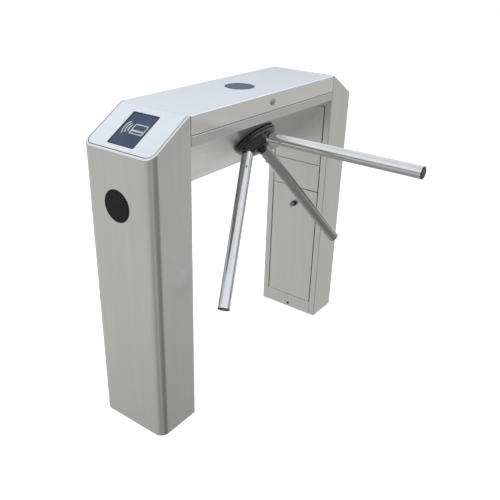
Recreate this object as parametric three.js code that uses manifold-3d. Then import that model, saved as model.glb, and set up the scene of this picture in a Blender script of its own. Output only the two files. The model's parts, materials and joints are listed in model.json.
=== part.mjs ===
// Tripod turnstile of the bridge type: two pedestals, a beam with a hinged lid, and a hub with three arms.
// Millimetres, +Z up. The beam runs along X, the passage lies on the -Y side.
import * as THREE from 'three';
import { mergeVertices } from 'three/addons/utils/BufferGeometryUtils.js';
import Module from 'manifold-3d';

const wasm = await Module();
wasm.setup();

// Clearances
const TOUCH = 0.3;
const RUN = 0.3;
const SEAM = 1.2;
const GROOVE = 2;
const OVERRUN = 3;
const OVERLAP = 0.5;

// Facets of round shapes
const ROUND = 20;
const MACHINED = 16;
const COARSE = 12;
const HINGE_SIDES = 8;
const CORNER_STEPS = 7;
const BEND_STEPS = 2;

// Cabinet
const HEIGHT = 1000;
const LENGTH = 1085;
const WIDTH = 260;
const SHEET = 1.5;
const BEND = 3;
const PEDESTAL_DEPTH = 158;
const CORNER_RADIUS = 30;
const LID_LAP = 7;
const SLOPE_DROP = 90;
const RETURN_WIDTH = 26;
const LIP_DEPTH = 20;
const PLINTH_HEIGHT = 56;
const PLINTH_SCREW_RADIUS = 3.5;
const PLINTH_SCREW_Z = 15;

// Sloped end covers and readers
const RIM_WIDTH = 6;
const LANDING_WIDTH = 12;
const COVER_THICKNESS = 2;
const READER_LENGTH = 124;
const READER_WIDTH = 98;
const READER_Y = 3;
const READER_GLASS = 2.2;
const READER_FRAME_LAP = 8;
const READER_FRAME_DEPTH = 5;
const READER_BODY_INSET = 14;
const READER_BODY_DEPTH = 18;

// End indicators
const END_WINDOW_RADIUS = 48.5;
const END_WINDOW_Y = 5;
const END_WINDOW_DROP = 154;
const INDICATOR_LAP = 6;
const INDICATOR_FLANGE = 3;
const INDICATOR_BODY_RADIUS = 36;
const INDICATOR_BODY_DEPTH = 24;

// Base plates
const BASE_THICKNESS = 6;
const ANCHOR_RADIUS = 7;
const ANCHOR_SPACING_X = 90;
const ANCHOR_SPACING_Y = 190;
const DUCT_RADIUS = 24;
const DUCT_Y = 45;

// Beam
const SKIRT_HEIGHT = 56;
const STRIP_HEIGHT = 29;
const SLANT_DROP = 210;
const SLANT_ANGLE = THREE.MathUtils.degToRad(46);
const LEDGE_WIDTH = 12;
const UPSTAND_HEIGHT = 15;
const SKIRT_FOLD = 6;

// Lid hinge, indicator and lock
const HINGE_INSET = 5;
const HINGE_DROP = 9.5;
const HINGE_RADIUS = 4.5;
const HINGE_PIN_RADIUS = 2;
const HINGE_END_GAP = 14.2;
const HINGE_KNUCKLES = 10;
const HINGE_LEAF = 8;
const LID_SWING_ROOM = 6;
const BACK_WALL_DROP = 16;
const LID_WINDOW_RADIUS = 49;
const LID_WINDOW_X = 8;
const LID_WINDOW_Y = 5;
const LID_END_RELIEF = 0.25;
const LID_LOCK_DROP = 28;
const LID_LOCK_X = 2;
const LOCK_HEAD_RADIUS = 11;
const LOCK_HEAD = 2.5;
const LOCK_NUT = 2.5;
const LOCK_BARREL_RADIUS = 9;
const LOCK_BARREL_LENGTH = 18;
const LOCK_PLUG_RADIUS = 6;
const LOCK_PLUG_PROUD = 1;
const KEYWAY_WIDTH = 1.2;
const KEYWAY_LENGTH = 7;
const KEYWAY_DEPTH = 6;
const CAM_THICKNESS = 2.5;
const CAM_WIDTH = 10;
const LID_CAM_LENGTH = 24;

// Inner panels and doors
const PANEL_DEPTH = 154.5;
const PANEL_LINE_DROP = 45;
const PANEL_LINE_DEPTH = 0.8;
const PANEL_FOLD = 16;
const PANEL_RAIL_DROPS = [105, 15];
const PANEL_RAIL_HEIGHT = 12;
const PANEL_OVER_SLANT = 22;
const DOOR_FOLD = 10;
const DOOR_HINGE_GAP = 3;
const DOOR_PIN_INSET = 7;
const DOOR_PIN_DEPTH = 5;
const DOOR_PIN_RADIUS = 3;
const DOOR_PIN_REACH = 6;
const DOOR_LOCK_DROP = 69.5;
const KNOB_RADIUS = 7.5;
const KNOB_LENGTH = 15;
const DOOR_LOCK_HEAD = 5;
const DOOR_CAM_LENGTH = 84;

// Hub and arms
const HUB_ALONG_SLANT = 96.5;
const FACE_CLEARANCE = 2;
const ARM_MEET_DEPTH = 17;
const ARM_CONE = THREE.MathUtils.degToRad(43.5);
const ARM_CLOCKING = THREE.MathUtils.degToRad(-1.66);
const ARM_COUNT = 3;
const ARM_REACH = 589;
const ARM_RADIUS = 19;
const ARM_WALL = 2;
const ARM_ROOT = 48;
const PLUG_THICKNESS = 3;
const PLUG_INSERT = 18;
const FLANGE_RADIUS = 76;
const FLANGE_THICKNESS = 7;
const FLANGE_NECK_RADIUS = 69;
const FLANGE_NECK = 3;
const COLLAR_RADIUS = 72;
const COLLAR_THICKNESS = 7;
const HUB_BASE_RADIUS = 60;
const HUB_NOSE_RADIUS = 42;
const HUB_HEIGHT = 44;
const HUB_CHAMFER = 6;
const EDGE_CHAMFER = 1.5;
const SOCKET_RADIUS = 24;
const SOCKET_START = 34;
const SOCKET_END = 70;
const CAP_BOLT_RADIUS = 13;
const CAP_BOLT_HEAD = 14;
const CAP_BOLT_SHANK_RADIUS = 5;
const CAP_BOLT_GRIP = 10;
const CAP_BOLT_DOME = 3;
const ARM_BOLT_PLACE = 125;
const PLUG_CHAMFER = 1;
const SET_SCREW_RADIUS = 4;
const SET_SCREW_PROUD = 2.5;

// Shaft and bearings
const SHAFT_RADIUS = 12.5;
const SHAFT_NOSE = 34;
const BEARING_RADIUS = 26;
const BEARING_WIDTH = 15;
const BEARING_RING = 4;
const BEARING_SHIELD = 1;
const BEARING_INSET = 4;
const BEARING_SPACING = 23;
const HOUSING_RADIUS = 36;
const HOUSING_SHOULDER_RADIUS = 20;
const HOUSING_FLANGE_RADIUS = 52;
const HOUSING_FLANGE = 8;
const HOUSING_BOLTS = 4;
const HOUSING_BOLT_RADIUS = 5;
const HOUSING_BOLT_HEAD = 5;
const SPIGOT_RADIUS = 40;
const FACE_HOLE_RADIUS = 43;

// Mechanism plate and its studs
const PLATE_THICKNESS = 6;
const PLATE_HALF_LENGTH = 150;
const PLATE_ABOVE = 84;
const PLATE_BELOW = 105;
const PLATE_CORNER = 10;
const STUD_RADIUS = 4;
const STUD_CLEARANCE = 0.4;
const STUD_X = 132;
const STUD_INSET = 14;
const NUT_RADIUS = 7.5;
const NUT_HEIGHT = 6.5;
const STUD_END = 4;
const HEXAGON = 6;

// Wheels on the shaft
const WHEEL_HUB_RADIUS = 20;
const WHEEL_GAP = 5;
const WHEEL_BOSS = 4;
const CAM_MEAN_RADIUS = 44;
const CAM_RISE = 6;
const CAM_FACE = 10;
const CAM_STEPS = 48;
const CAM_SHARPNESS = 4;
const LOCK_WHEEL_RADIUS = 46;
const LOCK_WHEEL_FACE = 8;
const NOTCH_COUNT = 6;
const NOTCH_DEPTH = 8.5;
const NOTCH_MOUTH = 20;
const NOTCH_FLOOR = 13;
const GEAR_MODULE = 1.5;
const GEAR_TEETH = 60;
const PINION_TEETH = 12;
const GEAR_FACE = 6;
const TOOTH_SLACK = 0.25;
const DEDENDUM_SHARE = 1.1;
const ADDENDUM_SHARE = 0.75;
const ROOT_HALF_SHARE = 0.33;
const TIP_HALF_SHARE = 0.13;

// Damper
const DAMPER_RADIUS = 22;
const DAMPER_LENGTH = 24;
const DAMPER_STEP = 4;
const DAMPER_AXLE_RADIUS = 4;
const DAMPER_AXLE_REACH = 9;
const BRACKET_GAP = 2;
const BRACKET_THICKNESS = 3;
const BRACKET_X = 98;
const BRACKET_PILLAR_Y = 14;
const BRACKET_PILLAR_SPACING = 32;
const PILLAR_RADIUS = 6;

// Roller lever and its spring
const LEVER_PIVOT_X = -66;
const LEVER_PIVOT_Y = 55;
const LEVER_POST_RADIUS = 9;
const LEVER_PIN_RADIUS = 6;
const LEVER_THICKNESS = 7;
const LEVER_EYE_RADIUS = 12;
const ROLLER_RADIUS = 9;
const ROLLER_FACE = 9;
const ROLLER_INSET = 0.5;
const ROLLER_SPACER = 2;
const ROLLER_STANDOFF = 0.6;
const ROLLER_PIN_RADIUS = 3.5;
const ROLLER_PIN_HEAD_RADIUS = 5.5;
const CLIP_LAP = 2.5;
const CLIP_THICKNESS = 2;
const SPRING_WIRE_RADIUS = 0.8;
const SPRING_GAP = 0.7;
const SPRING_CURLS = 5;
const SPRING_PITCH = 2.4;
const SPRING_STEPS = 8;
const SPRING_SIDES = 5;
const SPRING_LEG = 14;
const SPRING_PEG_RADIUS = 3;
const SPRING_PEG_REACH = 10;

// Locking pawls, plungers and solenoids
const PAWL_ARM_RADIUS = 54;
const PAWL_ARM_LENGTH = 40;
const PAWL_ARM_WIDTH = 10;
const PAWL_REST_GAP = 1;
const PAWL_FINGER_WIDTH = 8;
const PAWL_TAIL = 34;
const PAWL_TAIL_WIDTH = 14;
const PAWL_EYE_RADIUS = 11;
const PAWL_THICKNESS = 7;
const PAWL_POST_RADIUS = 8;
const PAWL_PIN_RADIUS = 5;
const SLOT_SLACK = 0.4;
const SLOT_LENGTH = 8;
const SLOT_END = 4;
const LINK_PIN_RADIUS = 2.5;
const FORK_THICKNESS = 3.5;
const FORK_START = 9;
const FORK_LENGTH = 6;
const FORK_HALF_WIDTH = 6;
const PLUNGER_RADIUS = 4;
const SOLENOID_START = 24;
const SOLENOID_LENGTH = 50;
const SOLENOID_HALF = 15;
const SOLENOID_LEG = 3;
const SOLENOID_BORE = 38;
const PLUNGER_ENGAGEMENT = 26;

// Position sensor
const SENSOR_RADIUS = 6;
const SENSOR_LENGTH = 38;
const SENSOR_AIR_GAP = 1.5;
const SENSOR_WALL_OUT = 20;
const SENSOR_WALL = 3;
const SENSOR_HALF_WIDTH = 12;
const SENSOR_FOOT = 12;

// Electronics and wiring
const BOARD_LENGTH = 160;
const BOARD_HEIGHT = 90;
const BOARD_THICKNESS = 1.6;
const BOARD_STANDOFF = 10;
const BOARD_STANDOFF_RADIUS = 4;
const BOARD_INSET = 8;
const BOARD_END_GAP = 49.2;
const BOARD_RISE = 95;
const CHIP_LENGTH = 34;
const CHIP_HEIGHT = 18;
const CHIP_THICKNESS = 3;
const TERMINAL_HEIGHT = 12;
const TERMINAL_DEPTH = 14;
const SUPPLY_LENGTH = 130;
const SUPPLY_WIDTH = 46;
const SUPPLY_HEIGHT = 62;
const SUPPLY_SLOTS = 6;
const SUPPLY_END_GAP = 64.2;
const HARNESS_RADIUS = 4;
const HARNESS_SIDES = 8;
const NEAR_HARNESS_STEPS = 18;
const FAR_HARNESS_STEPS = 44;
const HARNESS_DROP = 30;

// Finishes
function finish(color, roughness, metalness) {
  return new THREE.MeshStandardMaterial({ color, roughness, metalness, flatShading: true });
}

const steel = finish(0xb3b3b0, 0.42, 0.85);
const coverSteel = finish(0xd6dde0, 0.35, 0.7);
const polished = finish(0xd0d2d4, 0.15, 1);
const blackCasting = finish(0x1c1d20, 0.45, 0.2);
const darkPlastic = finish(0x17181b, 0.5, 0);
const readerGlass = finish(0x3c4858, 0.15, 0);
const lensGlass = finish(0x55667a, 0.2, 0);
const endLens = finish(0x1b1e23, 0.25, 0);
const zinc = finish(0x9aa0a4, 0.5, 0.8);
const bearingSteel = finish(0xbfc2c6, 0.25, 0.95);
const brass = finish(0xb08d4a, 0.35, 0.9);
const rubber = finish(0x2a2b2d, 0.8, 0);
const boardGreen = finish(0x1f5a3a, 0.6, 0);

// Places that several pieces share
const HALF_WIDTH = WIDTH / 2;
const INNER_X = LENGTH / 2 - PEDESTAL_DEPTH;
const OPENING_HALF = HALF_WIDTH - RETURN_WIDTH;
const CREASE = LID_LAP;
const SLOPE_RUN = PEDESTAL_DEPTH - CREASE;
const SLOPE_ANGLE = Math.atan2(SLOPE_DROP, SLOPE_RUN);
const BEAM_HALF_LENGTH = INNER_X - TOUCH;
const LID_HALF_LENGTH = INNER_X + CREASE - TOUCH;
const STRIP_TOP = HEIGHT - SKIRT_HEIGHT - SEAM;
const SLANT_TOP = HEIGHT - SKIRT_HEIGHT - STRIP_HEIGHT;
const SLANT_RUN = SLANT_DROP / Math.tan(SLANT_ANGLE);
const BEAM_BOTTOM = SLANT_TOP - SLANT_DROP;
const SLANT_FOOT_Y = SLANT_RUN - HALF_WIDTH;
const HINGE_LENGTH = 2 * (BEAM_HALF_LENGTH - HINGE_END_GAP);
const HINGE_Y = HALF_WIDTH - HINGE_INSET;
const HINGE_Z = HEIGHT - HINGE_DROP;
const BACK_WALL_TOP = HEIGHT - BACK_WALL_DROP;
const END_WINDOW_Z = HEIGHT - SLOPE_DROP - END_WINDOW_DROP;
const DOOR_TOP = BEAM_BOTTOM - PANEL_DEPTH;
const DOOR_LOCK_Z = DOOR_TOP - DOOR_LOCK_DROP;
const PANEL_LINE_Z = BEAM_BOTTOM - PANEL_LINE_DROP;
const PANEL_HALF = OPENING_HALF - GROOVE;
const DOOR_BOTTOM = PLINTH_HEIGHT + GROOVE;
const PANEL_BOTTOM = DOOR_TOP + GROOVE;
const DOOR_HINGE_EDGE = OPENING_HALF - DOOR_HINGE_GAP;
const DOOR_PIN_Y = DOOR_HINGE_EDGE - DOOR_PIN_INSET;
const LID_LOCK_Z = HEIGHT - LID_LOCK_DROP;
const PLATE_FRONT = SHEET + TOUCH;
const PLATE_BACK = PLATE_FRONT + PLATE_THICKNESS;

const point = (x, y) => new THREE.Vector2(x, y);
const axes = [new THREE.Vector3(1, 0, 0), new THREE.Vector3(0, 1, 0), new THREE.Vector3(0, 0, 1)];
const ALONG_X = new THREE.Matrix4().makeBasis(axes[1], axes[2], axes[0]);
const ALONG_Y = new THREE.Matrix4().makeBasis(axes[0], axes[2], axes[1].clone().negate());

// Joining and cutting closed shapes
function solid(geometry) {
  const bare = geometry.clone();
  bare.deleteAttribute('normal');
  bare.deleteAttribute('uv');
  const merged = mergeVertices(bare);
  const corners = merged.index.array;
  const kept = [];
  for (let i = 0; i < corners.length; i += 3) {
    const [a, b, c] = [corners[i], corners[i + 1], corners[i + 2]];
    if (a !== b && b !== c && c !== a) kept.push(a, b, c);
  }
  const vertProperties = new Float32Array(merged.attributes.position.array);
  return new wasm.Manifold(new wasm.Mesh({ numProp: 3, vertProperties, triVerts: new Uint32Array(kept) }));
}

function geometryOf(body) {
  const { vertProperties, triVerts } = body.getMesh();
  const geometry = new THREE.BufferGeometry();
  geometry.setAttribute('position', new THREE.BufferAttribute(vertProperties, 3));
  geometry.setIndex(new THREE.BufferAttribute(triVerts, 1));
  return geometry;
}

const join = (first, ...others) =>
  geometryOf(others.reduce((sum, next) => sum.add(solid(next)), solid(first)));

const cut = (first, ...tools) =>
  geometryOf(tools.reduce((rest, tool) => rest.subtract(solid(tool)), solid(first)));

const common = (first, second) => geometryOf(solid(first).intersect(solid(second)));

function piece(name, geometry, material) {
  const finished = geometryOf(solid(geometry));
  finished.computeVertexNormals();
  const mesh = new THREE.Mesh(finished, material);
  mesh.name = name;
  return mesh;
}

// Outlines
function arc(x, y, radius, from, to, steps) {
  return Array.from({ length: steps + 1 }, (_, k) => {
    const angle = from + ((to - from) * k) / steps;
    return point(x + radius * Math.cos(angle), y + radius * Math.sin(angle));
  });
}

const circle = (radius, x = 0, y = 0, sides = ROUND) =>
  arc(x, y, radius, 0, 2 * Math.PI, sides).slice(0, sides);

const rectangle = (x0, y0, x1, y1) => [point(x0, y0), point(x1, y0), point(x1, y1), point(x0, y1)];

function roundedRectangle(x0, y0, x1, y1, radius) {
  const quarter = Math.PI / 2;
  const [left, right, low, high] = [x0 + radius, x1 - radius, y0 + radius, y1 - radius];
  const centres = [[right, high], [left, high], [left, low], [right, low]];
  return centres.flatMap(([x, y], k) => arc(x, y, radius, k * quarter, (k + 1) * quarter, BEND_STEPS));
}

function outline(points, ...holes) {
  const shape = new THREE.Shape(points);
  shape.holes = holes.map((hole) => new THREE.Path(hole));
  return shape;
}

// A bent sheet seen from its end: corners are [x, y, bend radius] on one face, the sheet lies to their left
function foldedSheet(corners, thickness) {
  const face = [];
  const back = [];
  const put = (x, y, normal) => {
    face.push(point(x, y));
    back.unshift(point(x + normal.x * thickness, y + normal.y * thickness));
  };
  const heading = (a, b) => point(b[0] - a[0], b[1] - a[1]).normalize();
  corners.forEach((corner, i) => {
    const [x, y, radius] = corner;
    const arriving = i > 0 ? heading(corners[i - 1], corner) : heading(corner, corners[i + 1]);
    const leaving = i < corners.length - 1 ? heading(corner, corners[i + 1]) : arriving;
    const turn = Math.atan2(arriving.cross(leaving), arriving.dot(leaving));
    if (turn === 0) {
      put(x, y, point(-arriving.y, arriving.x));
      return;
    }
    const reach = radius * Math.tan(Math.abs(turn) / 2);
    const side = Math.sign(turn);
    const start = point(x - arriving.x * reach, y - arriving.y * reach);
    const centre = point(start.x - arriving.y * side * radius, start.y + arriving.x * side * radius);
    const steps = radius > BEND ? CORNER_STEPS : BEND_STEPS;
    for (let k = 0; k <= steps; k += 1) {
      const normal = point(-arriving.y, arriving.x).rotateAround(point(0, 0), (turn * k) / steps);
      put(centre.x - normal.x * side * radius, centre.y - normal.y * side * radius, normal);
    }
  });
  return outline([...face, ...back]);
}

// Straight pieces along each axis, and turned pieces about Z
function extrude(shape, from, to) {
  const geometry = new THREE.ExtrudeGeometry(shape, { depth: to - from, bevelEnabled: false });
  return geometry.translate(0, 0, from);
}

const extrudeX = (shape, from, to) => extrude(shape, from, to).applyMatrix4(ALONG_X);
const extrudeY = (shape, from, to) => extrude(shape, -to, -from).applyMatrix4(ALONG_Y);

function turned(profile, sides = ROUND) {
  return new THREE.LatheGeometry(profile.map(([radius, z]) => point(radius, z)), sides).rotateX(Math.PI / 2);
}

const rod = (radius, from, to, sides = ROUND) =>
  turned([[0, from], [radius, from], [radius, to], [0, to]], sides);

const tube = (outer, inner, from, to, sides = ROUND) =>
  turned([[inner, from], [outer, from], [outer, to], [inner, to], [inner, from]], sides);

const block = (x0, y0, z0, x1, y1, z1) => extrude(outline(rectangle(x0, y0, x1, y1)), z0, z1);

// Pedestals: u runs from the inner face to the outer end, side is -1 for the near one and 1 for the far one
const pedestalX = (side, u) => side * (INNER_X + u);
const slopeZ = (u) => HEIGHT - ((u - CREASE) * SLOPE_DROP) / SLOPE_RUN;
const inPlan = (side, points) => points.map((p) => point(pedestalX(side, p.x), p.y));

function endOutline(inset, start) {
  const radius = CORNER_RADIUS - inset;
  const u = PEDESTAL_DEPTH - CORNER_RADIUS;
  const y = HALF_WIDTH - CORNER_RADIUS;
  const quarter = Math.PI / 2;
  return [
    point(start, inset - HALF_WIDTH),
    ...arc(u, -y, radius, -quarter, 0, CORNER_STEPS),
    ...arc(u, y, radius, 0, quarter, CORNER_STEPS),
    point(start, HALF_WIDTH - inset),
  ];
}

function slopeSlab(side, top, bottom) {
  const drop = (depth) => depth / Math.cos(SLOPE_ANGLE);
  const end = PEDESTAL_DEPTH + OVERRUN;
  const corners = [[CREASE, top], [end, top], [end, bottom], [CREASE, bottom]];
  const points = corners.map(([u, depth]) => point(pedestalX(side, u), slopeZ(u) - drop(depth)));
  return extrudeY(outline(points), -HALF_WIDTH - OVERRUN, HALF_WIDTH + OVERRUN);
}

function onSlope(side, geometry) {
  const x = pedestalX(side, CREASE + SLOPE_RUN / 2);
  return geometry.rotateY(side * SLOPE_ANGLE).translate(x, READER_Y, HEIGHT - SLOPE_DROP / 2);
}

const inwardFromEnd = (side, geometry, z) =>
  geometry.rotateY((-side * Math.PI) / 2).translate((side * LENGTH) / 2, END_WINDOW_Y, z);
const inwardFromDoor = (side, geometry, y, z) =>
  geometry.rotateY((side * Math.PI) / 2).translate(side * INNER_X, y, z);

function pedestalShell(side) {
  const wall = foldedSheet([
    [LIP_DEPTH, -OPENING_HALF],
    [0, -OPENING_HALF, BEND],
    [0, -HALF_WIDTH, BEND],
    [PEDESTAL_DEPTH, -HALF_WIDTH, CORNER_RADIUS],
    [PEDESTAL_DEPTH, HALF_WIDTH, CORNER_RADIUS],
    [0, HALF_WIDTH, BEND],
    [0, OPENING_HALF, BEND],
    [LIP_DEPTH, OPENING_HALF],
  ], SHEET);
  const walls = extrude(outline(inPlan(side, wall.getPoints())), 0, HEIGHT);
  const lidRest = HEIGHT - SHEET - TOUCH;
  const footZ = slopeZ(PEDESTAL_DEPTH);
  const sideways = (profile, halfWidth) =>
    extrudeY(outline(profile.map(([u, z]) => point(pedestalX(side, u), z))), -halfWidth, halfWidth);
  const topCut = sideways([[-OVERRUN, lidRest], [CREASE, lidRest], [CREASE, HEIGHT], [PEDESTAL_DEPTH, footZ],
    [PEDESTAL_DEPTH + OVERRUN, footZ], [PEDESTAL_DEPTH + OVERRUN, HEIGHT + OVERRUN],
    [-OVERRUN, HEIGHT + OVERRUN]], HALF_WIDTH + OVERRUN);
  const ring = (width) => cut(extrude(outline(inPlan(side, endOutline(0, CREASE))), 0, HEIGHT),
    extrude(outline(inPlan(side, endOutline(width, CREASE - OVERRUN))), -OVERRUN, HEIGHT + OVERRUN));
  const seat = COVER_THICKNESS + TOUCH;
  const landing = common(ring(LANDING_WIDTH), slopeSlab(side, 0, seat + SHEET));
  const recess = common(extrude(outline(inPlan(side, endOutline(RIM_WIDTH, CREASE))), 0, HEIGHT + OVERRUN),
    slopeSlab(side, -OVERRUN, seat));
  const below = (u, depth) => [u, slopeZ(u) - depth / Math.cos(SLOPE_ANGLE)];
  const headerBase = below(CREASE, seat + SHEET);
  const header = [[0, lidRest], [CREASE, lidRest], below(CREASE + LANDING_WIDTH, TOUCH),
    below(CREASE + LANDING_WIDTH, seat + SHEET), headerBase, [0, headerBase[1]]];
  const headerBar = sideways(header, HALF_WIDTH - SHEET + OVERLAP);
  const plinth = [[0, 0], [SHEET, 0], [SHEET, PLINTH_HEIGHT - SHEET], [LIP_DEPTH, PLINTH_HEIGHT - SHEET],
    [LIP_DEPTH, PLINTH_HEIGHT], [0, PLINTH_HEIGHT]];
  const plinthFace = sideways(plinth, OPENING_HALF + OVERLAP);
  const pinHole = rod(DOOR_PIN_RADIUS + RUN, PLINTH_HEIGHT - SHEET - OVERRUN, PLINTH_HEIGHT + OVERRUN)
    .translate(pedestalX(side, DOOR_PIN_DEPTH), DOOR_PIN_Y, 0);
  const screwHole = inwardFromDoor(side, rod(PLINTH_SCREW_RADIUS, -OVERRUN, SHEET + OVERRUN, COARSE), 0,
    PLINTH_SCREW_Z);
  const window = inwardFromEnd(side, rod(END_WINDOW_RADIUS, -OVERRUN, SHEET + OVERRUN), END_WINDOW_Z);
  const swingRoom = rectangle(HINGE_Y - LID_SWING_ROOM, BACK_WALL_TOP, HALF_WIDTH + OVERRUN, HEIGHT + OVERRUN);
  const pocket = extrudeInward(side, outline(swingRoom), -OVERRUN, CREASE);
  const body = join(cut(walls, topCut), landing, headerBar, plinthFace);
  return cut(body, recess, pinHole, screwHole, window, pocket);
}

function endCover(side) {
  const start = CREASE + TOUCH;
  const plate = extrude(outline(inPlan(side, endOutline(RIM_WIDTH + GROOVE, start))), 0, HEIGHT);
  const window = block(-READER_LENGTH / 2 - TOUCH, -READER_WIDTH / 2 - TOUCH, -COVER_THICKNESS - OVERRUN,
    READER_LENGTH / 2 + TOUCH, READER_WIDTH / 2 + TOUCH, OVERRUN);
  return cut(common(plate, slopeSlab(side, 0, COVER_THICKNESS)), onSlope(side, window));
}

function readerWindow(side) {
  const [halfX, halfY] = [READER_LENGTH / 2, READER_WIDTH / 2];
  const edge = roundedRectangle(-halfX, -halfY, halfX, halfY, BEND);
  return onSlope(side, extrude(outline(edge), -READER_GLASS, 0));
}

function readerModule(side) {
  const top = -READER_GLASS - TOUCH;
  const halfX = READER_LENGTH / 2;
  const halfY = READER_WIDTH / 2;
  const frame = extrude(outline(rectangle(-halfX - READER_FRAME_LAP, -halfY - READER_FRAME_LAP,
    halfX + READER_FRAME_LAP, halfY + READER_FRAME_LAP)), top - READER_FRAME_DEPTH, top);
  const body = block(READER_BODY_INSET - halfX, READER_BODY_INSET - halfY, top - READER_BODY_DEPTH,
    halfX - READER_BODY_INSET, halfY - READER_BODY_INSET, top - READER_FRAME_DEPTH + OVERLAP);
  return onSlope(side, join(frame, body));
}

function indicatorProfile(windowRadius) {
  const face = SHEET + TOUCH;
  return [[0, 0], [windowRadius - TOUCH, 0], [windowRadius - TOUCH, face], [windowRadius + INDICATOR_LAP, face],
    [windowRadius + INDICATOR_LAP, face + INDICATOR_FLANGE], [INDICATOR_BODY_RADIUS, face + INDICATOR_FLANGE],
    [INDICATOR_BODY_RADIUS, INDICATOR_BODY_DEPTH], [0, INDICATOR_BODY_DEPTH]];
}

const endIndicator = (side) => inwardFromEnd(side, turned(indicatorProfile(END_WINDOW_RADIUS)), END_WINDOW_Z);

function basePlate(side) {
  const inset = SHEET + TOUCH;
  const u = (LIP_DEPTH + TOUCH + PEDESTAL_DEPTH - inset) / 2;
  const anchors = [-1, 1].flatMap((a) => [-1, 1].map((b) => {
    const place = [pedestalX(side, u + (a * ANCHOR_SPACING_X) / 2), (b * ANCHOR_SPACING_Y) / 2, 0];
    return rod(ANCHOR_RADIUS, -OVERRUN, BASE_THICKNESS + OVERRUN, COARSE).translate(...place);
  }));
  const duct = rod(DUCT_RADIUS, -OVERRUN, BASE_THICKNESS + OVERRUN, COARSE)
    .translate(pedestalX(side, u), DUCT_Y, 0);
  const plate = extrude(outline(inPlan(side, endOutline(inset, LIP_DEPTH + TOUCH))), 0, BASE_THICKNESS);
  return cut(plate, ...anchors, duct);
}

// Folded trays that fill the doorway; corners are [y, z] going round, and the face lies at u = 0
function extrudeInward(side, shape, from, to) {
  const [near, far] = [INNER_X + from, INNER_X + to];
  return side > 0 ? extrudeX(shape, near, far) : extrudeX(shape, -far, -near);
}

function insetPolygon(corners, distance) {
  const count = corners.length;
  const line = (i) => {
    const [a, b] = [corners[i % count], corners[(i + 1) % count]];
    const heading = point(b[0] - a[0], b[1] - a[1]).normalize();
    return { start: point(a[0] - heading.y * distance, a[1] + heading.x * distance), heading };
  };
  return corners.map((_, i) => {
    const [before, after] = [line(i + count - 1), line(i)];
    const gap = after.start.clone().sub(before.start);
    const along = gap.cross(after.heading) / before.heading.cross(after.heading);
    return [before.start.x + before.heading.x * along, before.start.y + before.heading.y * along];
  });
}

function tray(side, corners, fold) {
  const shapeOf = (points) => outline(points.map(([y, z]) => point(y, z)));
  const face = extrudeInward(side, shapeOf(corners), 0, fold);
  return cut(face, extrudeInward(side, shapeOf(insetPolygon(corners, SHEET)), SHEET, fold + OVERRUN));
}

function innerPanel(side) {
  const rise = PANEL_OVER_SLANT / Math.cos(SLANT_ANGLE);
  const slantZ = (y) => SLANT_TOP - (y + HALF_WIDTH) * Math.tan(SLANT_ANGLE) + rise;
  const topZ = BEAM_BOTTOM + PANEL_OVER_SLANT;
  const kneeY = (SLANT_TOP + rise - topZ) / Math.tan(SLANT_ANGLE) - HALF_WIDTH;
  const body = tray(side, [[-PANEL_HALF, PANEL_BOTTOM], [PANEL_HALF, PANEL_BOTTOM], [PANEL_HALF, topZ],
    [kneeY, topZ], [-PANEL_HALF, slantZ(-PANEL_HALF)]], PANEL_FOLD);
  const railHalf = OPENING_HALF - TOUCH;
  const rails = PANEL_RAIL_DROPS.map((drop) => {
    const z = BEAM_BOTTOM - drop;
    const bar = outline(rectangle(-railHalf, z, railHalf, z + PANEL_RAIL_HEIGHT));
    return extrudeInward(side, bar, PANEL_FOLD - 2 * SHEET, PANEL_FOLD - SHEET);
  });
  const line = extrudeInward(side, outline(rectangle(-PANEL_HALF - OVERRUN, PANEL_LINE_Z - PANEL_LINE_DEPTH,
    PANEL_HALF + OVERRUN, PANEL_LINE_Z + PANEL_LINE_DEPTH)), -OVERRUN, PANEL_LINE_DEPTH);
  const pinHole = rod(DOOR_PIN_RADIUS + RUN, PANEL_BOTTOM - OVERRUN, PANEL_BOTTOM + SHEET + OVERRUN)
    .translate(pedestalX(side, DOOR_PIN_DEPTH), DOOR_PIN_Y, 0);
  return cut(join(body, ...rails), line, pinHole);
}

function door(side) {
  const leaf = tray(side, [[-PANEL_HALF, DOOR_BOTTOM], [DOOR_HINGE_EDGE, DOOR_BOTTOM],
    [DOOR_HINGE_EDGE, DOOR_TOP], [-PANEL_HALF, DOOR_TOP]], DOOR_FOLD);
  const x = pedestalX(side, DOOR_PIN_DEPTH);
  const lowPin = rod(DOOR_PIN_RADIUS, DOOR_BOTTOM - DOOR_PIN_REACH, DOOR_BOTTOM + SHEET / 2, COARSE);
  const highPin = rod(DOOR_PIN_RADIUS, DOOR_TOP - SHEET / 2, DOOR_TOP + DOOR_PIN_REACH, COARSE);
  const lockHole = inwardFromDoor(side, rod(LOCK_BARREL_RADIUS + TOUCH, -OVERRUN, SHEET + OVERRUN, MACHINED),
    0, DOOR_LOCK_Z);
  const pins = [lowPin, highPin].map((pin) => pin.translate(x, DOOR_PIN_Y, 0));
  return cut(join(leaf, ...pins), lockHole);
}

// A quarter-turn lock along Z: its head lies outside the sheet at z = 0, the cam swings behind it
function lockBody(head) {
  const front = -TOUCH - head;
  const nut = SHEET + TOUCH;
  return turned([[LOCK_PLUG_RADIUS + RUN, front], [LOCK_HEAD_RADIUS, front], [LOCK_HEAD_RADIUS, -TOUCH],
    [LOCK_BARREL_RADIUS, -TOUCH], [LOCK_BARREL_RADIUS, nut], [LOCK_HEAD_RADIUS, nut],
    [LOCK_HEAD_RADIUS, nut + LOCK_NUT], [LOCK_BARREL_RADIUS, nut + LOCK_NUT],
    [LOCK_BARREL_RADIUS, LOCK_BARREL_LENGTH], [LOCK_PLUG_RADIUS + RUN, LOCK_BARREL_LENGTH],
    [LOCK_PLUG_RADIUS + RUN, front]], MACHINED);
}

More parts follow.
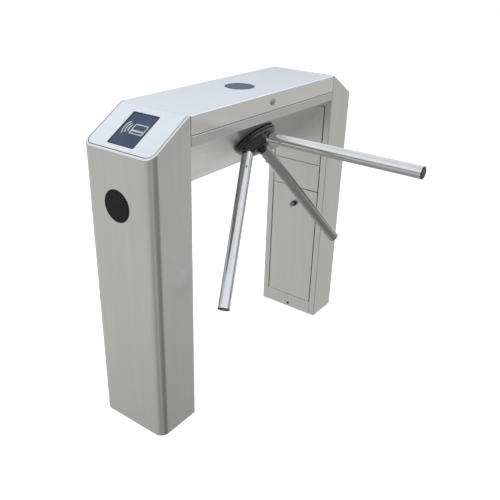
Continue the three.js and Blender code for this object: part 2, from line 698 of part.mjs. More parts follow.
function lockPlug(head, knobRadius, knobLength, camLength) {
  const knobBase = -TOUCH - head - RUN;
  const camStart = LOCK_BARREL_LENGTH + RUN;
  const plug = turned([[0, knobBase - knobLength], [knobRadius, knobBase - knobLength], [knobRadius, knobBase],
    [LOCK_PLUG_RADIUS, knobBase], [LOCK_PLUG_RADIUS, camStart + CAM_THICKNESS], [0, camStart + CAM_THICKNESS]],
  MACHINED);
  const cam = extrude(outline(roundedRectangle(-CAM_WIDTH / 2, -CAM_WIDTH / 2, camLength, CAM_WIDTH / 2, BEND)),
    camStart, camStart + CAM_THICKNESS);
  const keyway = block(-KEYWAY_LENGTH / 2, -KEYWAY_WIDTH / 2, knobBase - knobLength - OVERRUN,
    KEYWAY_LENGTH / 2, KEYWAY_WIDTH / 2, knobBase - knobLength + KEYWAY_DEPTH);
  return cut(join(plug, cam), keyway);
}

// The door's cam lies level at rest and points to the free edge; the lid's points along the skirt
const doorLock = (side, geometry) =>
  inwardFromDoor(side, geometry.rotateZ(-Math.PI / 2), 0, DOOR_LOCK_Z);
const lidLock = (geometry) => geometry.rotateX(-Math.PI / 2).translate(LID_LOCK_X, -HALF_WIDTH, LID_LOCK_Z);

// Beam
const HUB_Y = HUB_ALONG_SLANT * Math.cos(SLANT_ANGLE) - HALF_WIDTH;
const HUB_Z = SLANT_TOP - HUB_ALONG_SLANT * Math.sin(SLANT_ANGLE);
const onSlant = (geometry) => geometry.rotateX(Math.PI - SLANT_ANGLE).translate(0, HUB_Y, HUB_Z);
const studPlaces = [-STUD_X, STUD_X].flatMap((x) =>
  [PLATE_ABOVE - STUD_INSET, STUD_INSET - PLATE_BELOW].map((y) => [x, y]));

// Inside the beam, depths are counted from the slanted face inwards
const plateIn = (shape, from, to) => extrude(shape, -to, -from);
const rodIn = (radius, from, to, sides = MACHINED) => rod(radius, -to, -from, sides);
const tubeIn = (outer, inner, from, to, sides = MACHINED) => tube(outer, inner, -to, -from, sides);
const blockIn = (x0, y0, from, x1, y1, to) => block(x0, y0, -to, x1, y1, -from);

function hingeKnuckles(first, webOf) {
  const pitch = HINGE_LENGTH / HINGE_KNUCKLES;
  const knuckles = [];
  for (let k = first; k < HINGE_KNUCKLES; k += 2) {
    const from = k * pitch - HINGE_LENGTH / 2 + TOUCH / 2;
    const to = from + pitch - TOUCH;
    const barrel = extrudeX(outline(circle(HINGE_RADIUS, HINGE_Y, HINGE_Z, HINGE_SIDES)), from, to);
    knuckles.push(barrel, webOf(from, to));
  }
  return knuckles;
}

const hingeHole = () => extrudeX(outline(circle(HINGE_PIN_RADIUS + TOUCH, HINGE_Y, HINGE_Z, HINGE_SIDES)),
  -HINGE_LENGTH / 2 - OVERRUN, HINGE_LENGTH / 2 + OVERRUN);

function beamTrough() {
  const ledgeY = LEDGE_WIDTH - HALF_WIDTH;
  const section = foldedSheet([
    [ledgeY, STRIP_TOP + UPSTAND_HEIGHT],
    [ledgeY, STRIP_TOP, BEND],
    [-HALF_WIDTH, STRIP_TOP, BEND],
    [-HALF_WIDTH, SLANT_TOP, BEND],
    [SLANT_FOOT_Y, BEAM_BOTTOM, BEND],
    [HALF_WIDTH, BEAM_BOTTOM, BEND],
    [HALF_WIDTH, BACK_WALL_TOP],
  ], SHEET);
  const walls = extrudeX(section, -BEAM_HALF_LENGTH, BEAM_HALF_LENGTH);
  const studs = studPlaces.map(([x, y]) => {
    const nutStart = PLATE_BACK + TOUCH;
    const stud = rodIn(STUD_RADIUS, SHEET - OVERLAP, nutStart + NUT_HEIGHT + STUD_END, COARSE);
    const nut = plateIn(outline(circle(NUT_RADIUS, 0, 0, HEXAGON)), nutStart, nutStart + NUT_HEIGHT);
    return onSlant(join(stud, nut).translate(x, y, 0));
  });
  const leaf = (from, to) => join(
    block(from, HINGE_Y - SHEET, BACK_WALL_TOP - HINGE_LEAF, to, HALF_WIDTH - OVERLAP, BACK_WALL_TOP),
    block(from, HINGE_Y - SHEET, BACK_WALL_TOP - SHEET, to, HINGE_Y, HINGE_Z - HINGE_PIN_RADIUS - TOUCH));
  const shaftHole = onSlant(rodIn(FACE_HOLE_RADIUS, -OVERRUN, SHEET + OVERRUN));
  return cut(join(walls, ...studs, ...hingeKnuckles(0, leaf)), shaftHole, hingeHole());
}

function lid() {
  const under = HEIGHT - SHEET;
  const section = foldedSheet([
    [HALF_WIDTH, HEIGHT],
    [-HALF_WIDTH, HEIGHT, BEND],
    [-HALF_WIDTH, HEIGHT - SKIRT_HEIGHT, BEND],
    [SKIRT_FOLD - HALF_WIDTH, HEIGHT - SKIRT_HEIGHT],
  ], SHEET);
  const endCuts = [-1, 1].map((side) => {
    const [a, b] = [side * BEAM_HALF_LENGTH, side * (LID_HALF_LENGTH + OVERRUN)];
    return block(Math.min(a, b), -HALF_WIDTH - OVERRUN, HEIGHT - SKIRT_HEIGHT - OVERRUN, Math.max(a, b),
      HALF_WIDTH + OVERRUN, under + LID_END_RELIEF);
  });
  const leaf = (from, to) =>
    block(from, HINGE_Y - SHEET, HINGE_Z + HINGE_PIN_RADIUS + TOUCH, to, HINGE_Y + SHEET, under + OVERLAP);
  const window = rod(LID_WINDOW_RADIUS, under - OVERRUN, HEIGHT + OVERRUN)
    .translate(LID_WINDOW_X, LID_WINDOW_Y, 0);
  const lockHole = lidLock(rod(LOCK_BARREL_RADIUS + TOUCH, -OVERRUN, SHEET + OVERRUN, MACHINED));
  const sheet = cut(extrudeX(section, -LID_HALF_LENGTH, LID_HALF_LENGTH), ...endCuts);
  return cut(join(sheet, ...hingeKnuckles(1, leaf)), window, lockHole, hingeHole());
}

const hingePin = () => extrudeX(outline(circle(HINGE_PIN_RADIUS, HINGE_Y, HINGE_Z, HINGE_SIDES)),
  -HINGE_LENGTH / 2, HINGE_LENGTH / 2);

const lidIndicator = () =>
  turned(indicatorProfile(LID_WINDOW_RADIUS)).rotateX(Math.PI).translate(LID_WINDOW_X, LID_WINDOW_Y, HEIGHT);

// Plate, bearings and shaft
const HOUSING_FRONT = PLATE_BACK + TOUCH;
const FRONT_BEARING = HOUSING_FRONT + BEARING_INSET;
const REAR_BEARING = FRONT_BEARING + BEARING_WIDTH + BEARING_SPACING;
const HOUSING_BACK = REAR_BEARING + BEARING_WIDTH + BEARING_INSET;
const CAM_START = HOUSING_BACK + LEVER_THICKNESS;
const CAM_END = CAM_START + CAM_FACE;
const LOCK_START = CAM_END + WHEEL_GAP;
const LOCK_END = LOCK_START + LOCK_WHEEL_FACE;
const GEAR_START = LOCK_END + WHEEL_GAP;
const GEAR_END = GEAR_START + GEAR_FACE;
const BRACKET_START = GEAR_END + BRACKET_GAP;
const BRACKET_END = BRACKET_START + BRACKET_THICKNESS;
const ROLLER_X = -(CAM_MEAN_RADIUS + CAM_RISE + ROLLER_RADIUS + ROLLER_STANDOFF);
const LEVER_BACK = CAM_START - ROLLER_SPACER;
const LEVER_FRONT = LEVER_BACK - LEVER_THICKNESS;
const PAWL_START = (LOCK_START + LOCK_END - PAWL_THICKNESS) / 2;
const PAWL_END = PAWL_START + PAWL_THICKNESS;
const SPRING_RADIUS = LEVER_POST_RADIUS + SPRING_GAP + SPRING_WIRE_RADIUS;
const SPRING_START = LEVER_FRONT - RUN - SPRING_WIRE_RADIUS - SPRING_CURLS * SPRING_PITCH;
const NOTCH_ANGLE = Math.PI / 3;
const fromNotch = (along, out) => point(along * Math.sin(NOTCH_ANGLE) + out * Math.cos(NOTCH_ANGLE),
  along * Math.cos(NOTCH_ANGLE) - out * Math.sin(NOTCH_ANGLE));
const pawlPivot = fromNotch(PAWL_ARM_LENGTH, PAWL_ARM_RADIUS);
const LINK_Y = pawlPivot.y - PAWL_TAIL;
const SOLENOID_X = pawlPivot.x + SOLENOID_START;
const LINK_DEPTH = (PAWL_START + PAWL_END) / 2;

function post(radius, pinRadius, pieceStart, pieceEnd) {
  const shoulder = pieceStart - RUN;
  const clip = pieceEnd + RUN;
  return join(rodIn(radius, PLATE_BACK - OVERLAP, shoulder, COARSE),
    rodIn(pinRadius, shoulder - OVERLAP, clip + OVERLAP),
    rodIn(pinRadius + CLIP_LAP, clip, clip + CLIP_THICKNESS, COARSE));
}

function mechanismPlate() {
  const holes = studPlaces.map(([x, y]) => circle(STUD_RADIUS + STUD_CLEARANCE, x, y, COARSE));
  const edge = roundedRectangle(-PLATE_HALF_LENGTH, -PLATE_BELOW, PLATE_HALF_LENGTH, PLATE_ABOVE, PLATE_CORNER);
  const plate = plateIn(outline(edge, circle(SPIGOT_RADIUS), ...holes), PLATE_FRONT, PLATE_BACK);
  const leverPost = post(LEVER_POST_RADIUS, LEVER_PIN_RADIUS, LEVER_FRONT, LEVER_BACK)
    .translate(LEVER_PIVOT_X, LEVER_PIVOT_Y, 0);
  const pawlPosts = [-1, 1].map((side) => post(PAWL_POST_RADIUS, PAWL_PIN_RADIUS, PAWL_START, PAWL_END)
    .translate(side * pawlPivot.x, pawlPivot.y, 0));
  const springPeg = rodIn(SPRING_PEG_RADIUS, PLATE_BACK - OVERLAP, SPRING_START + SPRING_PEG_RADIUS, COARSE)
    .translate(LEVER_PIVOT_X - SPRING_PEG_REACH, LEVER_PIVOT_Y - SPRING_RADIUS - SPRING_PEG_RADIUS - TOUCH
      - SPRING_WIRE_RADIUS, 0);
  return join(plate, leverPost, springPeg, ...pawlPosts);
}

function bearingHousing() {
  const seat = BEARING_RADIUS + TOUCH;
  const shoulderStart = FRONT_BEARING + BEARING_WIDTH + TOUCH;
  const shoulderEnd = REAR_BEARING - TOUCH;
  const body = turned([[seat, -HOUSING_FRONT], [seat, -shoulderStart],
    [HOUSING_SHOULDER_RADIUS, -shoulderStart], [HOUSING_SHOULDER_RADIUS, -shoulderEnd],
    [seat, -shoulderEnd], [seat, -HOUSING_BACK],
    [HOUSING_RADIUS, -HOUSING_BACK], [HOUSING_RADIUS, -HOUSING_FRONT - HOUSING_FLANGE],
    [HOUSING_FLANGE_RADIUS, -HOUSING_FRONT - HOUSING_FLANGE], [HOUSING_FLANGE_RADIUS, -HOUSING_FRONT],
    [seat, -HOUSING_FRONT]], MACHINED);
  const boltCircle = (HOUSING_RADIUS + HOUSING_FLANGE_RADIUS) / 2;
  const boltStart = HOUSING_FRONT + HOUSING_FLANGE;
  const head = outline(circle(HOUSING_BOLT_RADIUS, boltCircle, 0, HEXAGON));
  const bolts = Array.from({ length: HOUSING_BOLTS }, (_, k) =>
    plateIn(head, boltStart - OVERLAP, boltStart + HOUSING_BOLT_HEAD)
      .rotateZ(((k + 1 / 2) * 2 * Math.PI) / HOUSING_BOLTS));
  return join(body, ...bolts);
}

function bearing(start) {
  const end = start + BEARING_WIDTH;
  const [bore, inner] = [SHAFT_RADIUS + RUN, SHAFT_RADIUS + BEARING_RING];
  const outer = BEARING_RADIUS - BEARING_RING;
  return turned([[bore, -end], [inner, -end], [inner, BEARING_SHIELD - end], [outer, BEARING_SHIELD - end],
    [outer, -end], [BEARING_RADIUS, -end], [BEARING_RADIUS, -start], [outer, -start],
    [outer, -start - BEARING_SHIELD], [inner, -start - BEARING_SHIELD], [inner, -start], [bore, -start],
    [bore, -end]], MACHINED);
}

function mainShaft() {
  const tail = GEAR_END + WHEEL_BOSS + TOUCH;
  const collar = SHAFT_RADIUS + BEARING_RING - TOUCH;
  const shaft = turned([[0, SHAFT_NOSE], [SHAFT_RADIUS, SHAFT_NOSE], [SHAFT_RADIUS, FACE_CLEARANCE - TOUCH],
    [collar, FACE_CLEARANCE - TOUCH], [collar, TOUCH - FRONT_BEARING], [SHAFT_RADIUS, TOUCH - FRONT_BEARING],
    [SHAFT_RADIUS, -tail], [collar, -tail], [collar, -tail - CLIP_THICKNESS], [0, -tail - CLIP_THICKNESS]]
    .reverse(), MACHINED);
  const thread = rod(CAP_BOLT_SHANK_RADIUS + TOUCH, SHAFT_NOSE - CAP_BOLT_GRIP - TOUCH, SHAFT_NOSE + OVERRUN);
  return cut(shaft, thread);
}

// Wheels on the shaft, each with a boss that reaches to the next
function wheel(face, from, to, bossFrom, bossTo) {
  const boss = rodIn(WHEEL_HUB_RADIUS, bossFrom, bossTo);
  const bore = rodIn(SHAFT_RADIUS + RUN, bossFrom - OVERRUN, bossTo + OVERRUN);
  return cut(join(plateIn(outline(face), from, to), boss), bore);
}

// Three narrow lobes with a broad hollow between them for each rest position of the arms
function camOutline() {
  return Array.from({ length: CAM_STEPS }, (_, k) => {
    const angle = (2 * Math.PI * k) / CAM_STEPS;
    const lobe = ((1 + Math.cos(ARM_COUNT * angle)) / 2) ** CAM_SHARPNESS;
    const radius = CAM_MEAN_RADIUS - CAM_RISE + 2 * CAM_RISE * lobe;
    return point(radius * Math.cos(angle), radius * Math.sin(angle));
  });
}

function indexCam() {
  return wheel(camOutline(), CAM_START, CAM_END, REAR_BEARING + BEARING_WIDTH + TOUCH, LOCK_START - TOUCH);
}

function lockWheel() {
  const body = wheel(circle(LOCK_WHEEL_RADIUS), LOCK_START, LOCK_END, LOCK_START, GEAR_START - TOUCH);
  const floor = LOCK_WHEEL_RADIUS - NOTCH_DEPTH;
  const mouth = LOCK_WHEEL_RADIUS + OVERRUN;
  const notch = [point(floor, -NOTCH_FLOOR / 2), point(mouth, -NOTCH_MOUTH / 2), point(mouth, NOTCH_MOUTH / 2),
    point(floor, NOTCH_FLOOR / 2)];
  const notches = Array.from({ length: NOTCH_COUNT }, (_, k) =>
    plateIn(outline(notch), LOCK_START - OVERRUN, LOCK_END + OVERRUN).rotateZ((2 * Math.PI * k) / NOTCH_COUNT));
  return cut(body, ...notches);
}

// Teeth with straight flanks: the tip is narrower than the root by the slope of the flank
function gearOutline(teeth, phase) {
  const pitchRadius = (teeth * GEAR_MODULE) / 2;
  const [root, tip] = [pitchRadius - GEAR_MODULE * DEDENDUM_SHARE, pitchRadius + GEAR_MODULE * ADDENDUM_SHARE];
  const pitch = Math.PI * GEAR_MODULE;
  const [rootHalf, tipHalf] = [pitch * ROOT_HALF_SHARE - TOOTH_SLACK, pitch * TIP_HALF_SHARE];
  return Array.from({ length: teeth }, (_, k) => {
    const centre = (2 * Math.PI * k) / teeth + phase;
    const at = (radius, offset) => {
      const angle = centre + offset / radius;
      return point(radius * Math.cos(angle), radius * Math.sin(angle));
    };
    return [at(root, -rootHalf), at(tip, -tipHalf), at(tip, tipHalf), at(root, rootHalf)];
  }).flat();
}

const damperGear = () =>
  wheel(gearOutline(GEAR_TEETH, 0), GEAR_START, GEAR_END, GEAR_START, GEAR_END + WHEEL_BOSS);
const DAMPER_X = ((GEAR_TEETH + PINION_TEETH) * GEAR_MODULE) / 2;

function damperPinion() {
  const teeth = plateIn(outline(gearOutline(PINION_TEETH, Math.PI / PINION_TEETH)), GEAR_START, GEAR_END);
  const axle = rodIn(DAMPER_AXLE_RADIUS, GEAR_END - OVERLAP, BRACKET_END + TOUCH + DAMPER_AXLE_REACH, COARSE);
  return join(teeth, axle).translate(DAMPER_X, 0, 0);
}

function damperBracket() {
  const top = BRACKET_PILLAR_Y + BRACKET_PILLAR_SPACING + PILLAR_RADIUS;
  const plate = plateIn(outline(roundedRectangle(DAMPER_X - DAMPER_RADIUS, -DAMPER_RADIUS,
    BRACKET_X + PILLAR_RADIUS, top, PILLAR_RADIUS), circle(DAMPER_AXLE_RADIUS + RUN, DAMPER_X, 0, COARSE)),
  BRACKET_START, BRACKET_END);
  const pillars = [0, BRACKET_PILLAR_SPACING].map((rise) =>
    rodIn(PILLAR_RADIUS, PLATE_BACK + TOUCH, BRACKET_START + OVERLAP, COARSE)
      .translate(BRACKET_X, BRACKET_PILLAR_Y + rise, 0));
  return join(plate, ...pillars);
}

function damperBody() {
  const start = BRACKET_END + TOUCH;
  const bore = rodIn(DAMPER_AXLE_RADIUS + RUN, start - OVERRUN, start + DAMPER_AXLE_REACH + TOUCH, COARSE);
  const end = start + DAMPER_LENGTH;
  const cap = rodIn(DAMPER_RADIUS - DAMPER_STEP, end - OVERLAP, end + DAMPER_STEP);
  return cut(join(rodIn(DAMPER_RADIUS, start, end), cap), bore).translate(DAMPER_X, 0, 0);
}

// Roller lever, drawn from its pivot to the roller's pin
function rollerLever() {
  const [dx, dy] = [ROLLER_X - LEVER_PIVOT_X, -LEVER_PIVOT_Y];
  const length = Math.hypot(dx, dy);
  const arm = plateIn(outline(rectangle(0, -ROLLER_RADIUS, length, ROLLER_RADIUS)), LEVER_FRONT, LEVER_BACK)
    .rotateZ(Math.atan2(dy, dx));
  const eye = rodIn(LEVER_EYE_RADIUS, LEVER_FRONT, LEVER_BACK);
  const tip = rodIn(ROLLER_RADIUS, LEVER_FRONT, LEVER_BACK).translate(dx, dy, 0);
  const rollerEnd = CAM_START + ROLLER_INSET + ROLLER_FACE;
  const pin = join(rodIn(ROLLER_PIN_RADIUS, LEVER_BACK - OVERLAP, rollerEnd + RUN + OVERLAP, COARSE),
    rodIn(ROLLER_PIN_HEAD_RADIUS, LEVER_BACK - OVERLAP, CAM_START + ROLLER_INSET - RUN, COARSE),
    rodIn(ROLLER_PIN_HEAD_RADIUS, rollerEnd + RUN, rollerEnd + RUN + CLIP_THICKNESS, COARSE))
    .translate(dx, dy, 0);
  const bore = rodIn(LEVER_PIN_RADIUS + RUN, LEVER_FRONT - OVERRUN, LEVER_BACK + OVERRUN);
  return cut(join(arm, eye, tip, pin), bore).translate(LEVER_PIVOT_X, LEVER_PIVOT_Y, 0);
}

function leverRoller() {
  const start = CAM_START + ROLLER_INSET;
  return tubeIn(ROLLER_RADIUS, ROLLER_PIN_RADIUS + RUN, start, start + ROLLER_FACE).translate(ROLLER_X, 0, 0);
}

// A torsion spring round the lever's post, with a leg at each end
function indexSpring() {
  const turns = SPRING_CURLS * 2 * Math.PI;
  const coil = Array.from({ length: SPRING_CURLS * SPRING_STEPS + 1 }, (_, k) => {
    const angle = (turns * k) / (SPRING_CURLS * SPRING_STEPS) - Math.PI / 2;
    const depth = SPRING_START + (SPRING_CURLS * SPRING_PITCH * k) / (SPRING_CURLS * SPRING_STEPS);
    return new THREE.Vector3(SPRING_RADIUS * Math.cos(angle), SPRING_RADIUS * Math.sin(angle), -depth);
  });
  const leg = (end) => end.clone().add(new THREE.Vector3(-SPRING_LEG, 0, 0));
  const other = coil[coil.length - 1].clone().add(new THREE.Vector3(SPRING_LEG, 0, 0));
  const route = new THREE.CatmullRomCurve3([leg(coil[0]), ...coil, other]);
  const steps = SPRING_CURLS * SPRING_STEPS + SPRING_STEPS;
  return new THREE.ExtrudeGeometry(outline(circle(SPRING_WIRE_RADIUS, 0, 0, SPRING_SIDES)),
    { steps, extrudePath: route, bevelEnabled: false }).translate(LEVER_PIVOT_X, LEVER_PIVOT_Y, 0);
}

// Pawls, plungers and solenoids of the right-hand side; the left-hand ones are their mirror images
const mirrored = (geometry) => geometryOf(solid(geometry).mirror([1, 0, 0]));
const handed = (side, geometry) => (side > 0 ? geometry : mirrored(geometry));

function pawl() {
  const halfArm = PAWL_ARM_WIDTH / 2;
  const halfFinger = PAWL_FINGER_WIDTH / 2;
  const tip = LOCK_WHEEL_RADIUS + PAWL_REST_GAP;
  const flat = (points) => plateIn(outline(points), PAWL_START, PAWL_END);
  const [armIn, armOut] = [PAWL_ARM_RADIUS - halfArm, PAWL_ARM_RADIUS + halfArm];
  const arm = flat([fromNotch(-halfFinger, armIn), fromNotch(PAWL_ARM_LENGTH, armIn),
    fromNotch(PAWL_ARM_LENGTH, armOut), fromNotch(-halfFinger, armOut)]);
  const finger = flat([fromNotch(-halfFinger, tip), fromNotch(halfFinger, tip),
    fromNotch(halfFinger, PAWL_ARM_RADIUS), fromNotch(-halfFinger, PAWL_ARM_RADIUS)]);
  const tail = flat(rectangle(pawlPivot.x - PAWL_TAIL_WIDTH / 2, LINK_Y - SLOT_LENGTH - SLOT_END,
    pawlPivot.x + PAWL_TAIL_WIDTH / 2, pawlPivot.y));
  const eye = flat(circle(PAWL_EYE_RADIUS, pawlPivot.x, pawlPivot.y));
  const bore = rodIn(PAWL_PIN_RADIUS + RUN, PAWL_START - OVERRUN, PAWL_END + OVERRUN)
    .translate(pawlPivot.x, pawlPivot.y, 0);
  const halfSlot = LINK_PIN_RADIUS + SLOT_SLACK;
  const slotEdge = roundedRectangle(pawlPivot.x - halfSlot, LINK_Y - SLOT_LENGTH, pawlPivot.x + halfSlot,
    LINK_Y + SLOT_LENGTH, halfSlot - OVERLAP);
  const slot = plateIn(outline(slotEdge), PAWL_START - OVERRUN, PAWL_END + OVERRUN);
  return cut(join(arm, finger, tail, eye), bore, slot);
}

function plunger() {
  const x0 = pawlPivot.x - FORK_HALF_WIDTH;
  const bridge = pawlPivot.x + FORK_START;
  const x1 = bridge + FORK_LENGTH;
  const [y0, y1] = [LINK_Y - FORK_HALF_WIDTH, LINK_Y + FORK_HALF_WIDTH];
  const front = PAWL_START - RUN - FORK_THICKNESS;
  const back = PAWL_END + RUN + FORK_THICKNESS;
  const plates = [front, back - FORK_THICKNESS].map((from) =>
    blockIn(x0, y0, from, x1, y1, from + FORK_THICKNESS));
  const pin = rodIn(LINK_PIN_RADIUS, front + OVERLAP, back - OVERLAP, COARSE).translate(pawlPivot.x, LINK_Y, 0);
  const stem = extrudeX(outline(circle(PLUNGER_RADIUS, LINK_Y, -LINK_DEPTH, COARSE)), x1 - OVERLAP,
    SOLENOID_X + PLUNGER_ENGAGEMENT);
  return join(blockIn(bridge, y0, front, x1, y1, back), ...plates, pin, stem);
}

function solenoid() {
  const x1 = SOLENOID_X + SOLENOID_LENGTH;
  const [y0, y1] = [LINK_Y - SOLENOID_HALF, LINK_Y + SOLENOID_HALF];
  const [front, back] = [LINK_DEPTH - SOLENOID_HALF, LINK_DEPTH + SOLENOID_HALF];
  const foot = PLATE_BACK + TOUCH;
  const body = blockIn(SOLENOID_X, y0, front, x1, y1, back);
  const legs = [SOLENOID_X + OVERLAP, x1 - SOLENOID_LEG - OVERLAP].map((x) =>
    blockIn(x, y0 + OVERLAP, foot + OVERLAP, x + SOLENOID_LEG, y1 - OVERLAP, front + OVERLAP));
  const base = blockIn(SOLENOID_X, y0, foot, x1, y1, foot + SOLENOID_LEG);
  const bore = extrudeX(outline(circle(PLUNGER_RADIUS + RUN, LINK_Y, -LINK_DEPTH, COARSE)),
    SOLENOID_X - OVERRUN, SOLENOID_X + SOLENOID_BORE);
  return cut(join(body, ...legs, base), bore);
}

function positionSensor() {
  const depth = (LOCK_START + LOCK_END) / 2;
  const tip = LOCK_WHEEL_RADIUS + SENSOR_AIR_GAP;
  const wall = tip + SENSOR_WALL_OUT;
  const foot = PLATE_BACK + TOUCH;
  const barrel = extrudeY(outline(circle(SENSOR_RADIUS, 0, -depth, COARSE)), tip, tip + SENSOR_LENGTH);
  const upright = blockIn(-SENSOR_HALF_WIDTH, wall, foot, SENSOR_HALF_WIDTH, wall + SENSOR_WALL,
    depth + SENSOR_HALF_WIDTH);
  const base = blockIn(-SENSOR_HALF_WIDTH, wall, foot, SENSOR_HALF_WIDTH, wall + SENSOR_WALL + SENSOR_FOOT,
    foot + SENSOR_WALL);
  const nuts = [wall - NUT_HEIGHT, wall + SENSOR_WALL].map((from) =>
    extrudeY(outline(circle(SENSOR_RADIUS + SENSOR_WALL, 0, -depth, HEXAGON)), from, from + NUT_HEIGHT));
  return join(barrel, upright, base, ...nuts);
}

// Hub and arms, along +Z out of the slanted face
const ARM_STEP = (2 * Math.PI) / ARM_COUNT;
const alongArm = (geometry, k) =>
  geometry.rotateX(-ARM_CONE).rotateZ(k * ARM_STEP).translate(0, 0, -ARM_MEET_DEPTH);

function hubBody() {
  const flangeTop = FACE_CLEARANCE + FLANGE_THICKNESS;
  const neckTop = flangeTop + FLANGE_NECK;
  const collarTop = neckTop + COLLAR_THICKNESS;
  const shaftBore = SHAFT_RADIUS + TOUCH;
  const boltBore = CAP_BOLT_SHANK_RADIUS + TOUCH;
  const seat = SHAFT_NOSE + TOUCH;
  const body = turned([[shaftBore, FACE_CLEARANCE], [FLANGE_RADIUS - EDGE_CHAMFER, FACE_CLEARANCE],
    [FLANGE_RADIUS, FACE_CLEARANCE + EDGE_CHAMFER], [FLANGE_RADIUS, flangeTop - EDGE_CHAMFER],
    [FLANGE_RADIUS - EDGE_CHAMFER, flangeTop], [FLANGE_NECK_RADIUS, flangeTop], [FLANGE_NECK_RADIUS, neckTop],
    [COLLAR_RADIUS, neckTop], [COLLAR_RADIUS, collarTop - EDGE_CHAMFER],
    [COLLAR_RADIUS - EDGE_CHAMFER, collarTop], [HUB_BASE_RADIUS, collarTop],
    [HUB_NOSE_RADIUS, HUB_HEIGHT - HUB_CHAMFER],
    [HUB_NOSE_RADIUS - HUB_CHAMFER, HUB_HEIGHT], [boltBore, HUB_HEIGHT], [boltBore, seat], [shaftBore, seat],
    [shaftBore, FACE_CLEARANCE]]);
  const sockets = Array.from({ length: ARM_COUNT }, (_, k) => alongArm(turned([[0, SOCKET_START],
    [SOCKET_RADIUS, SOCKET_START], [SOCKET_RADIUS, SOCKET_END - EDGE_CHAMFER],
    [SOCKET_RADIUS - EDGE_CHAMFER, SOCKET_END], [0, SOCKET_END]]), k));
  const bores = Array.from({ length: ARM_COUNT }, (_, k) =>
    alongArm(rod(ARM_RADIUS + TOUCH, ARM_ROOT - TOUCH, SOCKET_END + OVERRUN), k));
  const underside = rod(FLANGE_RADIUS + SOCKET_RADIUS, -HUB_HEIGHT, neckTop + OVERLAP);
  const shaftHole = rod(shaftBore, -OVERRUN, seat);
  const boltHole = rod(boltBore, seat - OVERLAP, HUB_HEIGHT + SOCKET_RADIUS);
  return cut(join(body, cut(join(...sockets), underside)), ...bores, shaftHole, boltHole);
}

function hubCapBolt() {
  const seat = HUB_HEIGHT + TOUCH;
  const top = seat + CAP_BOLT_HEAD;
  return turned([[0, SHAFT_NOSE - CAP_BOLT_GRIP], [CAP_BOLT_SHANK_RADIUS, SHAFT_NOSE - CAP_BOLT_GRIP],
    [CAP_BOLT_SHANK_RADIUS, seat], [CAP_BOLT_RADIUS, seat], [CAP_BOLT_RADIUS, top - CAP_BOLT_DOME],
    [CAP_BOLT_RADIUS - CAP_BOLT_DOME, top], [0, top]]);
}

function arm() {
  const boltReach = ARM_RADIUS + SET_SCREW_PROUD;
  const crossBolt = extrudeX(outline(circle(SET_SCREW_RADIUS, 0, ARM_BOLT_PLACE, COARSE)), -boltReach,
    boltReach);
  return join(tube(ARM_RADIUS, ARM_RADIUS - ARM_WALL, ARM_ROOT, ARM_REACH - PLUG_THICKNESS), crossBolt);
}

function armCap() {
  const seat = ARM_REACH - PLUG_THICKNESS + TOUCH;
  const insert = ARM_RADIUS - ARM_WALL - TOUCH;
  return turned([[0, seat - PLUG_INSERT], [insert, seat - PLUG_INSERT], [insert, seat], [ARM_RADIUS, seat],
    [ARM_RADIUS, ARM_REACH - PLUG_CHAMFER], [ARM_RADIUS - PLUG_CHAMFER, ARM_REACH], [0, ARM_REACH]]);
}

// Electronics on the beam's back wall and floor, and the leads from the readers
const WALL_Y = HALF_WIDTH - SHEET;
const BOARD_Y = WALL_Y - BOARD_STANDOFF;
const BOARD_X = BOARD_LENGTH / 2 + BOARD_END_GAP - BEAM_HALF_LENGTH;
const BOARD_Z = BEAM_BOTTOM + BOARD_RISE;
const SUPPLY_X = BEAM_HALF_LENGTH - SUPPLY_END_GAP - SUPPLY_LENGTH / 2;

function controlBoard() {
  const [x0, x1] = [BOARD_X - BOARD_LENGTH / 2, BOARD_X + BOARD_LENGTH / 2];
  const [z0, z1] = [BOARD_Z - BOARD_HEIGHT / 2, BOARD_Z + BOARD_HEIGHT / 2];
  const face = BOARD_Y - BOARD_THICKNESS;
  const board = block(x0, face, z0, x1, BOARD_Y, z1);
  const standoffAt = (x, z) =>
    extrudeY(outline(circle(BOARD_STANDOFF_RADIUS, x, z, COARSE)), BOARD_Y - OVERLAP, WALL_Y - TOUCH);
  const standoffs = [x0 + BOARD_INSET, x1 - BOARD_INSET].flatMap((x) =>
    [z0 + BOARD_INSET, z1 - BOARD_INSET].map((z) => standoffAt(x, z)));
  const chips = [-1, 0, 1].map((k) => {
    const x = BOARD_X + k * (CHIP_LENGTH + BOARD_INSET);
    return block(x - CHIP_LENGTH / 2, face - CHIP_THICKNESS, BOARD_Z - CHIP_HEIGHT / 2, x + CHIP_LENGTH / 2,
      face + OVERLAP, BOARD_Z + CHIP_HEIGHT / 2);
  });
  const terminals = block(x0 + BOARD_INSET, face - TERMINAL_DEPTH, z1 - TERMINAL_HEIGHT, x1 - BOARD_INSET,
    face + OVERLAP, z1);
  return join(board, ...standoffs, ...chips, terminals);
}

